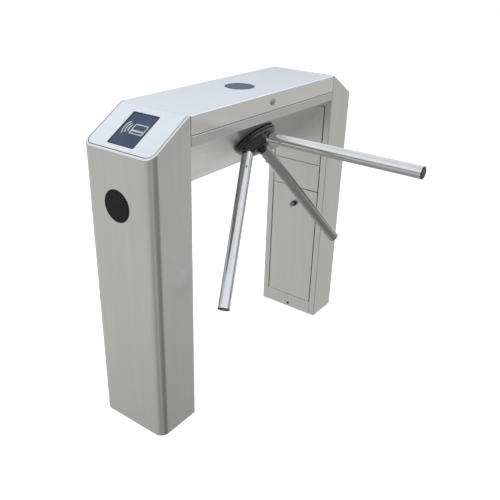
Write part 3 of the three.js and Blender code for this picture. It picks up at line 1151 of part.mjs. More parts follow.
function powerSupply() {
  const [x0, x1] = [SUPPLY_X - SUPPLY_LENGTH / 2, SUPPLY_X + SUPPLY_LENGTH / 2];
  const y1 = WALL_Y - BEND;
  const z0 = BEAM_BOTTOM + SHEET + TOUCH;
  const body = block(x0, y1 - SUPPLY_WIDTH, z0, x1, y1, z0 + SUPPLY_HEIGHT);
  const recess = block(x0 - OVERRUN, y1 - SUPPLY_WIDTH - OVERRUN, z0 + TERMINAL_HEIGHT, x0 + TERMINAL_DEPTH,
    y1 - SUPPLY_WIDTH + TERMINAL_DEPTH, z0 + SUPPLY_HEIGHT + OVERRUN);
  const pitch = (SUPPLY_LENGTH - 2 * TERMINAL_DEPTH) / SUPPLY_SLOTS;
  const slots = Array.from({ length: SUPPLY_SLOTS }, (_, k) => {
    const x = x0 + TERMINAL_DEPTH + (k + 1 / 2) * pitch;
    return block(x, y1 - SUPPLY_WIDTH + BOARD_INSET, z0 + SUPPLY_HEIGHT - SHEET, x + pitch / 2,
      y1 - BOARD_INSET, z0 + SUPPLY_HEIGHT + OVERRUN);
  });
  return cut(body, recess, ...slots);
}

// Route points: how far past the inner face, or past the board's terminal, in from the back wall and below the top
const nearRoute = [[30.5, 62.5, 116], [7.5, 38.5, 126], [-24.5, 24.5, 124], [-59.5, 18.5, 116]];
const farRoute = [[33.5, 68.5, 100], [7.5, 40.5, 92], [-34.5, 24.5, 92], [-144.5, 20.5, 94]];
const farRouteToBoard = [[155, 20.5, 98], [55, 18.5, 104]];

function harness(side, route, routeToBoard) {
  const slopeMiddle = INNER_X + CREASE + SLOPE_RUN / 2;
  const down = new THREE.Vector3(-side * Math.sin(SLOPE_ANGLE), 0, -Math.cos(SLOPE_ANGLE));
  const plate = new THREE.Vector3(side * slopeMiddle, READER_Y, HEIGHT - SLOPE_DROP / 2);
  const start = plate.addScaledVector(down, READER_GLASS + TOUCH + READER_BODY_DEPTH + TOUCH);
  const terminal = new THREE.Vector3(BOARD_X + (side * BOARD_LENGTH) / 4,
    BOARD_Y - BOARD_THICKNESS - TERMINAL_DEPTH / 2, BOARD_Z + BOARD_HEIGHT / 2 + TOUCH);
  const held = (x, inset, drop) => new THREE.Vector3(x, WALL_Y - inset, HEIGHT - drop);
  const points = [start, start.clone().addScaledVector(down, HARNESS_DROP),
    ...route.map(([past, inset, drop]) => held(pedestalX(side, past), inset, drop)),
    ...routeToBoard.map(([away, inset, drop]) => held(terminal.x + away, inset, drop)),
    terminal.clone().add(new THREE.Vector3(0, 0, HARNESS_DROP)), terminal];
  const steps = side > 0 ? FAR_HARNESS_STEPS : NEAR_HARNESS_STEPS;
  return new THREE.ExtrudeGeometry(outline(circle(HARNESS_RADIUS, 0, 0, HARNESS_SIDES)),
    { steps, extrudePath: new THREE.CatmullRomCurve3(points), bevelEnabled: false });
}

// Assembly
const turnstile = new THREE.Group();
const sides = [['near', -1], ['far', 1]];

for (const [name, side] of sides) {
  turnstile.add(
    piece(`${name}_pedestal_shell`, pedestalShell(side), steel),
    piece(`${name}_end_cover`, endCover(side), coverSteel),
    piece(`${name}_base_plate`, basePlate(side), zinc),
    piece(`${name}_inner_panel`, innerPanel(side), steel),
    piece(`${name}_door`, door(side), steel),
    piece(`${name}_door_lock_body`, doorLock(side, lockBody(DOOR_LOCK_HEAD)), darkPlastic),
    piece(`${name}_door_lock_knob`,
      doorLock(side, lockPlug(DOOR_LOCK_HEAD, KNOB_RADIUS, KNOB_LENGTH, DOOR_CAM_LENGTH)), darkPlastic),
    piece(`${name}_reader_window`, readerWindow(side), readerGlass),
    piece(`${name}_reader_module`, readerModule(side), darkPlastic),
    piece(`${name}_end_indicator`, endIndicator(side), endLens),
  );
}

turnstile.add(
  piece('beam_trough', beamTrough(), steel),
  piece('lid', lid(), coverSteel),
  piece('lid_hinge_pin', hingePin(), zinc),
  piece('lid_indicator', lidIndicator(), lensGlass),
  piece('lid_lock_body', lidLock(lockBody(LOCK_HEAD)), zinc),
  piece('lid_lock_plug',
    lidLock(lockPlug(LOCK_HEAD, LOCK_PLUG_RADIUS, LOCK_PLUG_PROUD, LID_CAM_LENGTH)), zinc),
  piece('control_board', controlBoard(), boardGreen),
  piece('power_supply', powerSupply(), zinc),
  piece('near_harness', harness(-1, nearRoute, []), rubber),
  piece('far_harness', harness(1, farRoute, farRouteToBoard), rubber),
);

const mechanism = new THREE.Group();
mechanism.add(
  piece('mechanism_plate', mechanismPlate(), zinc),
  piece('bearing_housing', bearingHousing(), blackCasting),
  piece('front_bearing', bearing(FRONT_BEARING), bearingSteel),
  piece('rear_bearing', bearing(REAR_BEARING), bearingSteel),
  piece('main_shaft', mainShaft(), bearingSteel),
  piece('index_cam', indexCam(), bearingSteel),
  piece('lock_wheel', lockWheel(), zinc),
  piece('damper_gear', damperGear(), brass),
  piece('damper_pinion', damperPinion(), brass),
  piece('damper_bracket', damperBracket(), zinc),
  piece('damper_body', damperBody(), blackCasting),
  piece('roller_lever', rollerLever(), zinc),
  piece('lever_roller', leverRoller(), bearingSteel),
  piece('index_spring', indexSpring(), zinc),
  piece('position_sensor', positionSensor(), brass),
);
for (const [name, side] of [['left', -1], ['right', 1]]) {
  mechanism.add(
    piece(`${name}_pawl`, handed(side, pawl()), zinc),
    piece(`${name}_plunger`, handed(side, plunger()), bearingSteel),
    piece(`${name}_solenoid`, handed(side, solenoid()), darkPlastic),
  );
}

const hub = new THREE.Group();
hub.rotation.z = ARM_CLOCKING;
hub.add(piece('hub_body', hubBody(), blackCasting), piece('hub_cap_bolt', hubCapBolt(), darkPlastic));
for (let k = 0; k < ARM_COUNT; k += 1) {
  const meshes = [piece(`arm_${k + 1}`, arm(), polished), piece(`arm_cap_${k + 1}`, armCap(), darkPlastic)];
  for (const mesh of meshes) {
    mesh.rotation.order = 'ZYX';
    mesh.rotation.set(-ARM_CONE, 0, k * ARM_STEP);
    mesh.position.z = -ARM_MEET_DEPTH;
    hub.add(mesh);
  }
}
mechanism.add(hub);
mechanism.rotation.x = Math.PI - SLANT_ANGLE;
mechanism.position.set(0, HUB_Y, HUB_Z);
turnstile.add(mechanism);

// The origin lies under the middle of the whole object
const box = new THREE.Box3().setFromObject(turnstile, true);
turnstile.position.y = -(box.min.y + box.max.y) / 2;

export default turnstile;
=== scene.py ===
"""Waist-high tripod turnstile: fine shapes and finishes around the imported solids.

Shapes are drawn in millimetres with the beam along X, the passage at -Y and the floor at zero,
and are set into the frame, in metres, when a piece is finished.
"""
import json
import math

import bmesh
import bpy
from mathutils import Matrix, Vector


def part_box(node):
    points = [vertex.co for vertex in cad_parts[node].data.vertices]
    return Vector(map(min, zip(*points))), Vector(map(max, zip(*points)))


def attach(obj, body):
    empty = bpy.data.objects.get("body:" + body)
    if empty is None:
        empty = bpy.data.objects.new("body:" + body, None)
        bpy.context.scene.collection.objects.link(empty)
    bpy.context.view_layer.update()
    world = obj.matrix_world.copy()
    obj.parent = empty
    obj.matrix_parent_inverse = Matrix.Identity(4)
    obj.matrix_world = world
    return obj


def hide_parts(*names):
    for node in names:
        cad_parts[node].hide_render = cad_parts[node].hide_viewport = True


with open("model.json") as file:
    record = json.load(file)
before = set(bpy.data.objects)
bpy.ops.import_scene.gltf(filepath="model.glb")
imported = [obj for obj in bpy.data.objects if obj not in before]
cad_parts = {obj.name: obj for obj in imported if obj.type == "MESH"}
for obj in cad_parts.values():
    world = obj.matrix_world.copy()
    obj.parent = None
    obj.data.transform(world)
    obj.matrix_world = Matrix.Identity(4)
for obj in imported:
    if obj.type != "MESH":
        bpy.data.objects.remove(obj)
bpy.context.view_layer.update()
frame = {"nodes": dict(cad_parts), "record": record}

shell_low, shell_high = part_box("near_pedestal_shell")
CENTRE_Y = (shell_low.y + shell_high.y) / 2
MM = 0.001
QUARTER = math.pi / 2
# These turn a shape's z to run along the beam, and out of the back wall towards the passage
ALONG_X = Matrix(((0, 0, 1, 0), (1, 0, 0, 0), (0, 1, 0, 0), (0, 0, 0, 1)))
OFF_WALL = Matrix(((1, 0, 0, 0), (0, 0, -1, 0), (0, 1, 0, 0), (0, 0, 0, 1)))


def at(x=0, y=0, z=0):
    return Matrix.Translation((x, y, z))


def spin(angle, axis):
    return Matrix.Rotation(angle, 4, axis)


TO_FRAME = at(y=CENTRE_Y) @ Matrix.Diagonal((MM, MM, MM, 1))

# Cabinet sizes
HEIGHT = 1000
LENGTH = 1085
HALF_WIDTH = 130
SHEET = 1.5
BEND = 3
PEDESTAL_DEPTH = 158
INNER_X = LENGTH / 2 - PEDESTAL_DEPTH
CORNER_RADIUS = 30
CREASE = 7
LAP_END = CREASE - 0.01
SLOPE_RUN = PEDESTAL_DEPTH - CREASE
SLOPE_DROP = 90
SLOPE = math.atan2(SLOPE_DROP, SLOPE_RUN)
OPENING_HALF = 104
LIP_DEPTH = 20
LIP_DROP = 3
PLINTH_HEIGHT = 56
PLINTH_SCREW_Z = 15
RIM_WIDTH = 6
RIM_ROUND = 3.2
COVER_INSET = 8
LANDING = 12
COVER_SEAT = 2.3
LID_REST = HEIGHT - 1.8
READER_LENGTH = 124
READER_WIDTH = 98
READER_Y = 3
MOTIF_THICKNESS = 0.5
MOTIF_EDGE = 0.12
END_WINDOW_RADIUS = 48.5
END_WINDOW_Y = 5
END_WINDOW_Z = 756

# Beam, lid and hinge sizes
BEAM_HALF = 384.2
LID_HALF = 391.2
SLANT = math.radians(46)
SLANT_TOP = 915
BEAM_BOTTOM = 705
BEAM_LEDGE = 942.8
SKIRT_BOTTOM = 944
SLANT_FOOT_Y = (SLANT_TOP - BEAM_BOTTOM) / math.tan(SLANT) - HALF_WIDTH
BACK_WALL_TOP = 984
HINGE_Y = 125
HINGE_Z = 990.5
HINGE_RADIUS = 4.5
HINGE_PITCH = 74
HINGE_START = -370
KNUCKLE_LENGTH = 73.7
KNUCKLE_BORE = 2.3
# Hinge leaves lie from LEAF_Y; each has its lowest and highest z and its outer y
LEAF_Y = 123.5
TROUGH_LEAF = (976, 988.2, 126)
LID_LEAF = (992.8, 998.4, 126.5)
LID_WINDOW = (8, 5)
LID_WINDOW_RADIUS = 49
LID_LOCK = (2, -HALF_WIDTH, 972)
LOCK_HOLE = 9.3

# Doors and inner panels
PANEL_HALF = 102
PANEL_BOTTOM = 552.5
PANEL_TOP = 727
PANEL_LINE_Z = 660
PANEL_LINE_HALF = 1.1
PANEL_LINE_DEPTH = 1.2
TRAY_ROLL = 1.4
DOOR_BOTTOM = 58
DOOR_TOP = 550.5
DOOR_EDGE = 101
DOOR_PIN = (5, 94)
DOOR_LOCK_Z = 481

# Hub and arms, along the hub's own axis out of the slanted face
HUB_DOWN = 96.5
HUB_Y = HUB_DOWN * math.cos(SLANT) - HALF_WIDTH
HUB_Z = SLANT_TOP - HUB_DOWN * math.sin(SLANT)
ARM_CONE = math.radians(43.5)
ARM_MEET = 17
CLOCKING = math.radians(-1.66)
ARM_RADIUS = 19
ARM_WALL = 2
ARM_ROOT = 48
ARM_REACH = 589
ARM_BOLT = 125
SOCKET_RADIUS = 24
SOCKET_START = 34
SOCKET_END = 70
CAST_VOXEL = 1.1
STUD_X = 132
STUD_ROWS = (70, -91)

# Electronics, leads, coils and spring
WALL_Y = HALF_WIDTH - SHEET
BOARD_X = -255
ON_BOARD = at(BOARD_X, 116.9, 800) @ OFF_WALL
BOARD_HOLE = (72, 37)
CHIP_PITCH = 42
# The terminals' number, the place of the first and the step to the next
TERMINALS = (16, (-67.5, 39, 0), (9, 0, 0))
SUPPLY_CORNER = (190, 79.5, 706.8)
SUPPLY_PITCH = 7.72
VENT_START = 24
VENT_PITCH = 7
TERMINAL_X = 40
TERMINAL_Y = 109.9
TERMINAL_Z = 845.3
READER_BACK = 20.8
LEAD_RADIUS = 3.9
LEAD_DROP = 30
SHEATH_END = 14
LEAD_TIES = {-1: 4, 1: 9}
# Clips that hold a lead: past the inner face, in from the wall and down from the top
LEAD_HOLDS = {-1: ((30.5, 62.5, 116), (7.5, 38.5, 126), (-24.5, 24.5, 124), (-59.5, 18.5, 116)),
              1: ((33.5, 68.5, 100), (7.5, 40.5, 92), (-34.5, 24.5, 92), (-144.5, 20.5, 94))}
BOARD_HOLDS = ((155, 20.5, 98), (55, 18.5, 104))
SOLENOID_X = 85.64
SOLENOID_Y = -60.77
COIL_DEPTH = 95.1
COIL_AXIS = at(z=COIL_DEPTH) @ ALONG_X
COIL_CHEEK = at(z=COIL_DEPTH) @ Matrix.Diagonal((-1, 1, 1, 1)) @ ALONG_X
SPRING_X = -66
SPRING_Y = 55
SPRING_RADIUS = 10.5
SPRING_WIRE = 0.8
SPRING_TURNS = 5
SPRING_STEPS = 40
SPRING_PITCH = 2.4
SPRING_START = 54
SPRING_LEG = 14

ON_SLANT = at(0, HUB_Y, HUB_Z) @ spin(math.pi - SLANT, "X")
ON_HUB = ON_SLANT @ spin(CLOCKING, "Z")

# Finishes: painted warm shade on the lid's skirt, fading out over its top fold between these heights, in
# metres
SKIRT_SHADE_START = 0.994
SKIRT_SHADE_END = 0.9995


# Camera
def linked(name, data):
    thing = bpy.data.objects.new(name, data)
    bpy.context.scene.collection.objects.link(thing)
    return thing


def set_camera():
    eye = Vector((-1.612955, -0.949142, 1.410105))
    target = Vector((0.027392, 0.212102, 0.420))
    roll = 0.032
    forward = (target - eye).normalized()
    level = forward.cross(Vector((0, 0, 1))).normalized()
    upright = level.cross(forward)
    right = math.cos(roll) * level + math.sin(roll) * upright
    up = math.cos(roll) * upright - math.sin(roll) * level
    data = bpy.data.cameras.new("camera")
    data.lens = 44.65
    data.sensor_width = 36
    data.clip_end = 50
    camera = linked("camera", data)
    camera.matrix_world = at(*eye) @ Matrix((right, up, -forward)).transposed().to_4x4()
    bpy.context.scene.camera = camera


set_camera()


# Outlines
def bent_path(corners, steps):
    """Points along a bent sheet's face, each with the direction that its thickness takes.
    A corner is (x, y) or (x, y, radius), and the sheet lies to the left of the path."""
    path = []
    last = len(corners) - 1
    for i, corner in enumerate(corners):
        here = Vector(corner[:2])
        radius = corner[2] if len(corner) > 2 else 0
        ahead = (Vector(corners[min(i + 1, last)][:2]) - here).normalized()
        arriving = (here - Vector(corners[i - 1][:2])).normalized() if i else ahead
        leaving = ahead if i < last else arriving
        turn = math.atan2(arriving.cross(leaving), arriving.dot(leaving))
        left = Vector((-arriving.y, arriving.x))
        if abs(turn) < 1e-6:
            path.append((here, left))
            continue
        side = math.copysign(1, turn)
        centre = here - arriving * radius * math.tan(abs(turn) / 2) + left * side * radius
        for k in range(steps + 1):
            normal = Matrix.Rotation(turn * k / steps, 2) @ left
            path.append((centre - normal * side * radius, normal))
    return path


def folded(corners, thickness=SHEET, steps=6):
    """The closed outline of a bent sheet seen from its end."""
    path = bent_path(corners, steps)
    return [p for p, _ in path] + [p + n * thickness for p, n in reversed(path)]


def rounded_loop(corners, radius, steps=6):
    """A closed outline, counter-clockwise, with every corner rounded."""
    count = len(corners)
    loop = []
    for i in range(count):
        before, here, after = (Vector(corners[(i + k) % count]) for k in (-1, 0, 1))
        three = [tuple(before), (*here, radius), tuple(after)]
        loop += [p for p, _ in bent_path(three, steps)[1:-1]]
    return loop


def rectangle(x0, y0, x1, y1, radius=0.01, steps=6):
    return rounded_loop([(x0, y0), (x1, y0), (x1, y1), (x0, y1)], radius, steps)


def circle(radius, sides=64, x=0, y=0):
    steps = [2 * math.pi * k / sides for k in range(sides)]
    return [Vector((x + radius * math.cos(a), y + radius * math.sin(a))) for a in steps]


def inset_loop(corners, distance):
    """A convex outline, counter-clockwise, drawn in by a distance."""
    count = len(corners)
    lines = []
    for i in range(count):
        a, b = Vector(corners[i]), Vector(corners[(i + 1) % count])
        heading = (b - a).normalized()
        lines.append((a + Vector((-heading.y, heading.x)) * distance, heading))
    loop = []
    for i in range(count):
        (start, along), (goal, heading) = lines[i - 1], lines[i]
        reach = (goal - start).cross(heading) / along.cross(heading)
        loop.append(start + along * reach)
    return loop


# Shapes are (points, faces), in millimetres
def joined(*shapes):
    points, faces = [], []
    for more_points, more_faces in shapes:
        start = len(points)
        points += more_points
        faces += [[start + i for i in face] for face in more_faces]
    return points, faces


def moved(shape, matrix):
    return [matrix @ p for p in shape[0]], shape[1]


def shifted(shape, x=0, y=0, z=0):
    return moved(shape, at(x, y, z))


def loft(rings, ends=True):
    """A skin over closed rings of the same number of points."""
    count = len(rings[0])
    points = [Vector(p) for ring in rings for p in ring]
    faces = []
    for r in range(len(rings) - 1):
        for i in range(count):
            j = (i + 1) % count
            a, b = r * count, (r + 1) * count
            faces.append([a + i, a + j, b + j, b + i])
    if ends:
        faces.append(list(range(count)))
        faces.append([(len(rings) - 1) * count + i for i in range(count)])
    return points, faces


def turned(profile, sides=64):
    """A shape turned about Z from (radius, z) points, hollow where the profile ends where it starts."""
    rings = [[(p.x, p.y, z) for p in circle(radius, sides)] for radius, z in profile]
    hollow = Vector(profile[0]) == Vector(profile[-1])
    return loft(rings, ends=not hollow)


def hoop(section, sides=64):
    """A ring turned about Z, with a closed (radius, z) outline as its section."""
    return turned([tuple(p) for p in [*section, section[0]]], sides)


def eased(profile, edge, steps=4):
    """A turned profile with its outer corners rounded; it starts and ends on the axis."""
    softened = [(*p, edge) if 0 < i < len(profile) - 1 else p for i, p in enumerate(profile)]
    return [tuple(p) for p, _ in bent_path(softened, steps)]


def spun(profile, edge, sides=64, steps=4):
    return turned(eased(profile, edge, steps), sides)


def disc(radius, z0, z1, edge=0.4, sides=64, steps=4):
    return spun([(0, z0), (radius, z0), (radius, z1), (0, z1)], edge, sides, steps)


def washer(outer, inner, z0, z1, edge=0.4, sides=64):
    return hoop(rectangle(inner, z0, outer, z1, edge, 3), sides)


def cuboid(x0, y0, z0, x1, y1, z1):
    rings = [[(x0, y0, z), (x1, y0, z), (x1, y1, z), (x0, y1, z)] for z in (z0, z1)]
    return loft(rings)


def prism(outline, z0, z1):
    return loft([[(p[0], p[1], z) for p in outline] for z in (z0, z1)])


def drawn_out(outline, half):
    """A (y, z) outline drawn out along X, as far to either side."""
    return loft([[(x, p.x, p.y) for p in outline] for x in (-half, half)])


def shape_of(mesh):
    return [v.co.copy() for v in mesh.vertices], [list(p.vertices) for p in mesh.polygons]


def clean_mesh(shape, name):
    mesh = bpy.data.meshes.new(name)
    points, faces = shape
    mesh.from_pydata([tuple(p) for p in points], [], faces)
    work = bmesh.new()
    work.from_mesh(mesh)
    bmesh.ops.remove_doubles(work, verts=work.verts, dist=1e-4)
    bmesh.ops.dissolve_degenerate(work, edges=work.edges, dist=1e-5)
    bmesh.ops.recalc_face_normals(work, faces=work.faces)
    work.to_mesh(mesh)
    work.free()
    return mesh


def loose_object(shape, name="work"):
    return linked(name, clean_mesh(shape, name))


def evaluated_shape(thing):
    graph = bpy.context.evaluated_depsgraph_get()
    mesh = bpy.data.meshes.new_from_object(thing.evaluated_get(graph))
    shape = shape_of(mesh)
    bpy.data.meshes.remove(mesh)
    return shape


def discard(*things):
    for thing in things:
        data = thing.data
        bpy.data.objects.remove(thing)
        if isinstance(data, bpy.types.Mesh):
            bpy.data.meshes.remove(data)


def carved(shape, *cutters):
    """The shape with each cutter taken away."""
    thing = loose_object(shape)
    tools = [loose_object(cutter, "cutter") for cutter in cutters]
    for tool in tools:
        boolean = thing.modifiers.new("boolean", "BOOLEAN")
        boolean.operation = "DIFFERENCE"
        boolean.solver = "EXACT"
        boolean.object = tool
    result = evaluated_shape(thing)
    discard(thing, *tools)
    return result


def plate(outline, holes=(), thickness=SHEET, edge=0.3):
    """A flat plate with rounded edges, its face at z = 0 and its thickness below."""
    curve = bpy.data.curves.new("plate", "CURVE")
    curve.dimensions = "2D"
    curve.fill_mode = "BOTH"
    curve.bevel_depth = edge
    curve.bevel_resolution = 2
    curve.offset = -edge
    curve.extrude = thickness / 2 - edge
    for loop in (outline, *holes):
        spline = curve.splines.new("POLY")
        spline.points.add(len(loop) - 1)
        for point, place in zip(spline.points, loop):
            point.co = (place[0], place[1], 0, 1)
        spline.use_cyclic_u = True
    thing = linked("plate", curve)
    shape = evaluated_shape(thing)
    discard(thing)
    bpy.data.curves.remove(curve)
    return shifted(shape, z=-thickness / 2)


def slab(x0, y0, x1, y1, corner, z, thickness, edge, holes=()):
    """A plate with rounded corners and its face at a height."""
    return shifted(plate(rectangle(x0, y0, x1, y1, corner), holes, thickness, edge), z=z)


def piece(name, shape, finish, body, replaces=(), place=None, sharp=32):
    """A finished piece: its mesh in the frame, smooth but for its edges, with its finish, on its body."""
    thing = linked(name, clean_mesh(moved(shape, place or Matrix()), name))
    thing.data.transform(TO_FRAME)
    shade(thing.data, sharp)
    weigh_normals(thing)
    thing.data.materials.append(finish)
    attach(thing, body)
    if replaces:
        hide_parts(*replaces)
    return thing


def paired(name, title, shape, finish, node="", place=None, body="cabinet", sharp=32):
    """A piece that two sides have: the side's name starts its own name and its node's."""
    replaces = [f"{name}_{node}"] if node else ()
    piece(f"{name}_{title}", shape, finish, body, replaces, place, sharp)


def shade(mesh, sharp):
    work = bmesh.new()
    work.from_mesh(mesh)
    limit = math.radians(sharp)
    for edge in work.edges:
        edge.smooth = len(edge.link_faces) == 2 and edge.calc_face_angle(0) < limit
    for face in work.faces:
        face.smooth = True
    work.to_mesh(mesh)
    work.free()


def weigh_normals(thing):
    """Keeps flat faces flat beside their rounded edges."""
    thing.modifiers.new("normals", "WEIGHTED_NORMAL").keep_sharp = True
    graph = bpy.context.evaluated_depsgraph_get()
    rough = thing.data
    thing.data = bpy.data.meshes.new_from_object(thing.evaluated_get(graph))
    thing.modifiers.clear()
    bpy.data.meshes.remove(rough)
    thing.data.name = thing.name


# Node trees, and repeated parts laid out by geometry nodes
SOCKET_KINDS = {"Part": "Object", "Path": "Object", "Count": "Int", "Across": "Int", "Start": "Vector",
                "Step": "Vector", "Finish": "Material"}


class Nodes:
    """A node tree, with the nodes that more than one kind of tree uses."""

    def __init__(self, tree):
        self.tree = tree

    def add(self, kind, inputs=None, **settings):
        """Adds a node, with its inputs linked or set. Gives back its outputs."""
        node = self.tree.nodes.new(kind)
        for setting, value in settings.items():
            setattr(node, setting, value)
        for title, source in (inputs or {}).items():
            if isinstance(source, bpy.types.NodeSocket):
                self.tree.links.new(source, node.inputs[title])
            else:
                node.inputs[title].default_value = source
        return node.outputs

    def ramp(self, source, stops):
        """Colours at places from 0 to 1 along a value."""
        node = self.tree.nodes.new("ShaderNodeValToRGB")
        elements = node.color_ramp.elements
        elements[0].position, elements[0].color = stops[0][0], (*stops[0][1], 1)
        elements[1].position, elements[1].color = stops[-1][0], (*stops[-1][1], 1)
        for position, color in stops[1:-1]:
            elements.new(position).color = (*color, 1)
        self.tree.links.new(source, node.inputs["Fac"])
        return node.outputs["Color"]

    def spread(self, source, low, high, first=0, last=1):
        """A value that ran from low to high, made to run from first to last."""
        ends = {"From Min": low, "From Max": high, "To Min": first, "To Max": last}
        return self.add("ShaderNodeMapRange", {"Value": source, **ends})["Result"]

    def mixed(self, first, second, share, kind="MIX"):
        colors = {0: share, 6: first, 7: second}
        return self.add("ShaderNodeMix", colors, data_type="RGBA", blend_type=kind)[2]


class Layout(Nodes):
    """A node tree with named inputs for its sizes, which ends in one realised mesh."""

    def __init__(self, name, *inputs):
        super().__init__(bpy.data.node_groups.new(name, "GeometryNodeTree"))
        sockets = self.tree.interface
        for title in (*inputs, "Finish"):
            kind = SOCKET_KINDS.get(title, "Float")
            sockets.new_socket(name=title, in_out="INPUT", socket_type=f"NodeSocket{kind}")
        sockets.new_socket(name="Geometry", in_out="OUTPUT", socket_type="NodeSocketGeometry")
        self.sizes = self.add("NodeGroupInput")

    def copies(self, points, rotation=None):
        part = self.add("GeometryNodeObjectInfo", {"Object": self.sizes["Part"]})["Geometry"]
        inputs = {"Points": points, "Instance": part}
        if rotation:
            inputs["Rotation"] = rotation
        return self.add("GeometryNodeInstanceOnPoints", inputs)["Instances"]

    def facing(self, way, axis):
        return self.add("FunctionNodeAlignRotationToVector", {"Vector": way}, axis=axis)["Rotation"]

    def path(self):
        line = self.add("GeometryNodeObjectInfo", {"Object": self.sizes["Path"]})["Geometry"]
        return self.add("GeometryNodeMeshToCurve", {"Mesh": line})["Curve"]

    def wire(self, curve, sides):
        round_section = {"Resolution": sides, "Radius": self.sizes["Wire"]}
        section = self.add("GeometryNodeCurvePrimitiveCircle", round_section)["Curve"]
        inputs = {"Curve": curve, "Profile Curve": section, "Fill Caps": True}
        return self.add("GeometryNodeCurveToMesh", inputs)["Mesh"]

    def close(self, geometry):
        whole = self.add("GeometryNodeRealizeInstances", {"Geometry": geometry})["Geometry"]
        dressed = self.add("GeometryNodeSetMaterial", {"Geometry": whole, "Material": self.sizes["Finish"]})
        self.add("NodeGroupOutput", {"Geometry": dressed["Geometry"]})
        return self

    def grown(self, **sizes):
        """The mesh the tree makes once each input is set by its socket's identifier."""
        thing = loose_object(([], []), self.tree.name)
        modifier = thing.modifiers.new("layout", "NODES")
        modifier.node_group = self.tree
        for item in self.tree.interface.items_tree:
            if item.in_out == "INPUT":
                value = sizes[item.name]
                modifier[item.identifier] = float(value) if item.socket_type == "NodeSocketFloat" else value
        shape = evaluated_shape(thing)
        thing.modifiers.clear()
        discard(thing)
        return shape


def row_layout():
    layout = Layout("row_of_parts", "Part", "Count", "Start", "Step")
    sizes = layout.sizes
    ends = {"Count": sizes["Count"], "Start Location": sizes["Start"], "Offset": sizes["Step"]}
    return layout.close(layout.copies(layout.add("GeometryNodeMeshLine", ends)["Mesh"]))


def ring_layout():
    layout = Layout("ring_of_parts", "Part", "Count", "Radius")
    sizes = layout.sizes
    ring = layout.add("GeometryNodeMeshCircle", {"Vertices": sizes["Count"], "Radius": sizes["Radius"]})
    outwards = layout.add("GeometryNodeInputPosition")["Position"]
    return layout.close(layout.copies(ring["Mesh"], layout.facing(outwards, "X")))


def round_grid_layout():
    layout = Layout("round_grid_of_parts", "Part", "Across", "Width", "Radius")
    sizes = layout.sizes
    width, across = sizes["Width"], sizes["Across"]
    square = {"Size X": width, "Size Y": width, "Vertices X": across, "Vertices Y": across}
    grid = layout.add("GeometryNodeMeshGrid", square)["Mesh"]
    place = layout.add("GeometryNodeInputPosition")["Position"]
    reach = layout.add("ShaderNodeVectorMath", {0: place}, operation="LENGTH")["Value"]
    limits = {0: reach, 1: sizes["Radius"]}
    outside = layout.add("FunctionNodeCompare", limits, operation="GREATER_THAN")["Result"]
    kept = layout.add("GeometryNodeDeleteGeometry", {"Geometry": grid, "Selection": outside})["Geometry"]
    return layout.close(layout.copies(kept))


def coil_layout():
    layout = Layout("wound_wire", "Turns", "Radius", "Length", "Wire")
    sizes = layout.sizes
    helix = {"Resolution": 28, "Rotations": sizes["Turns"], "Start Radius": sizes["Radius"],
             "End Radius": sizes["Radius"], "Height": sizes["Length"]}
    return layout.close(layout.wire(layout.add("GeometryNodeCurveSpiral", helix)["Curve"], 10))


def sheath_layout():
    layout = Layout("sheathed_line", "Path", "Wire")
    return layout.close(layout.wire(layout.path(), 16))


def tie_layout():
    layout = Layout("ties_on_a_line", "Path", "Part", "Count")
    stretch = {"Curve": layout.path(), "Start": 0.22, "End": 0.86}
    middle = layout.add("GeometryNodeTrimCurve", stretch)["Curve"]
    spacing = {"Curve": middle, "Count": layout.sizes["Count"]}
    spots = layout.add("GeometryNodeResampleCurve", spacing)["Curve"]
    heading = layout.add("GeometryNodeInputTangent")["Tangent"]
    return layout.close(layout.copies(spots, layout.facing(heading, "Z")))


ROW = row_layout()
RING = ring_layout()
ROUND_GRID = round_grid_layout()
COIL = coil_layout()
SHEATHED = sheath_layout()
TIES = tie_layout()


def with_part(layout, shape, **sizes):
    part = loose_object(shape, "part")
    result = layout.grown(Part=part, **sizes)
    discard(part)
    return result


def row_of(shape, finish, count, start, step):
    return with_part(ROW, shape, Count=count, Start=start, Step=step, Finish=finish)


def ring_of(shape, finish, count, radius):
    return with_part(RING, shape, Count=count, Radius=radius, Finish=finish)


def round_grid_of(shape, finish, across, width, radius):
    return with_part(ROUND_GRID, shape, Across=across, Width=width, Radius=radius, Finish=finish)


def wound(finish, turns, radius, length, wire):
    return COIL.grown(Turns=turns, Radius=radius, Length=length, Wire=wire, Finish=finish)


def drawn_line(points):
    mesh = bpy.data.meshes.new("line")
    mesh.from_pydata([tuple(p) for p in points], [(i, i + 1) for i in range(len(points) - 1)], [])
    return linked("line", mesh)


def sheathed(finish, points, wire):
    line = drawn_line(points)
    shape = SHEATHED.grown(Path=line, Wire=wire, Finish=finish)
    discard(line)
    return shape


def tied(shape, finish, points, count):
    line = drawn_line(points)
    result = with_part(TIES, shape, Path=line, Count=count, Finish=finish)
    discard(line)
    return result


def smooth_route(points, steps):
    """A line that runs smoothly through the points, each span in the same number of steps."""
    around = [2 * points[0] - points[1], *points, 2 * points[-1] - points[-2]]
    route = []
    for i in range(len(points) - 1):
        p0, p1, p2, p3 = around[i:i + 4]
        d0, d1, d2 = (math.sqrt((b - a).length) for a, b in ((p0, p1), (p1, p2), (p2, p3)))
        leaving = ((p1 - p0) / d0 - (p2 - p0) / (d0 + d1) + (p2 - p1) / d1) * d1
        arriving = ((p2 - p1) / d1 - (p3 - p1) / (d1 + d2) + (p3 - p2) / d2) * d1
        for k in range(steps):
            t = k / steps
            bend = 3 * (p2 - p1) - 2 * leaving - arriving
            twist = 2 * (p1 - p2) + leaving + arriving
            route.append(p1 + leaving * t + bend * t ** 2 + twist * t ** 3)
    return [*route, points[-1]]


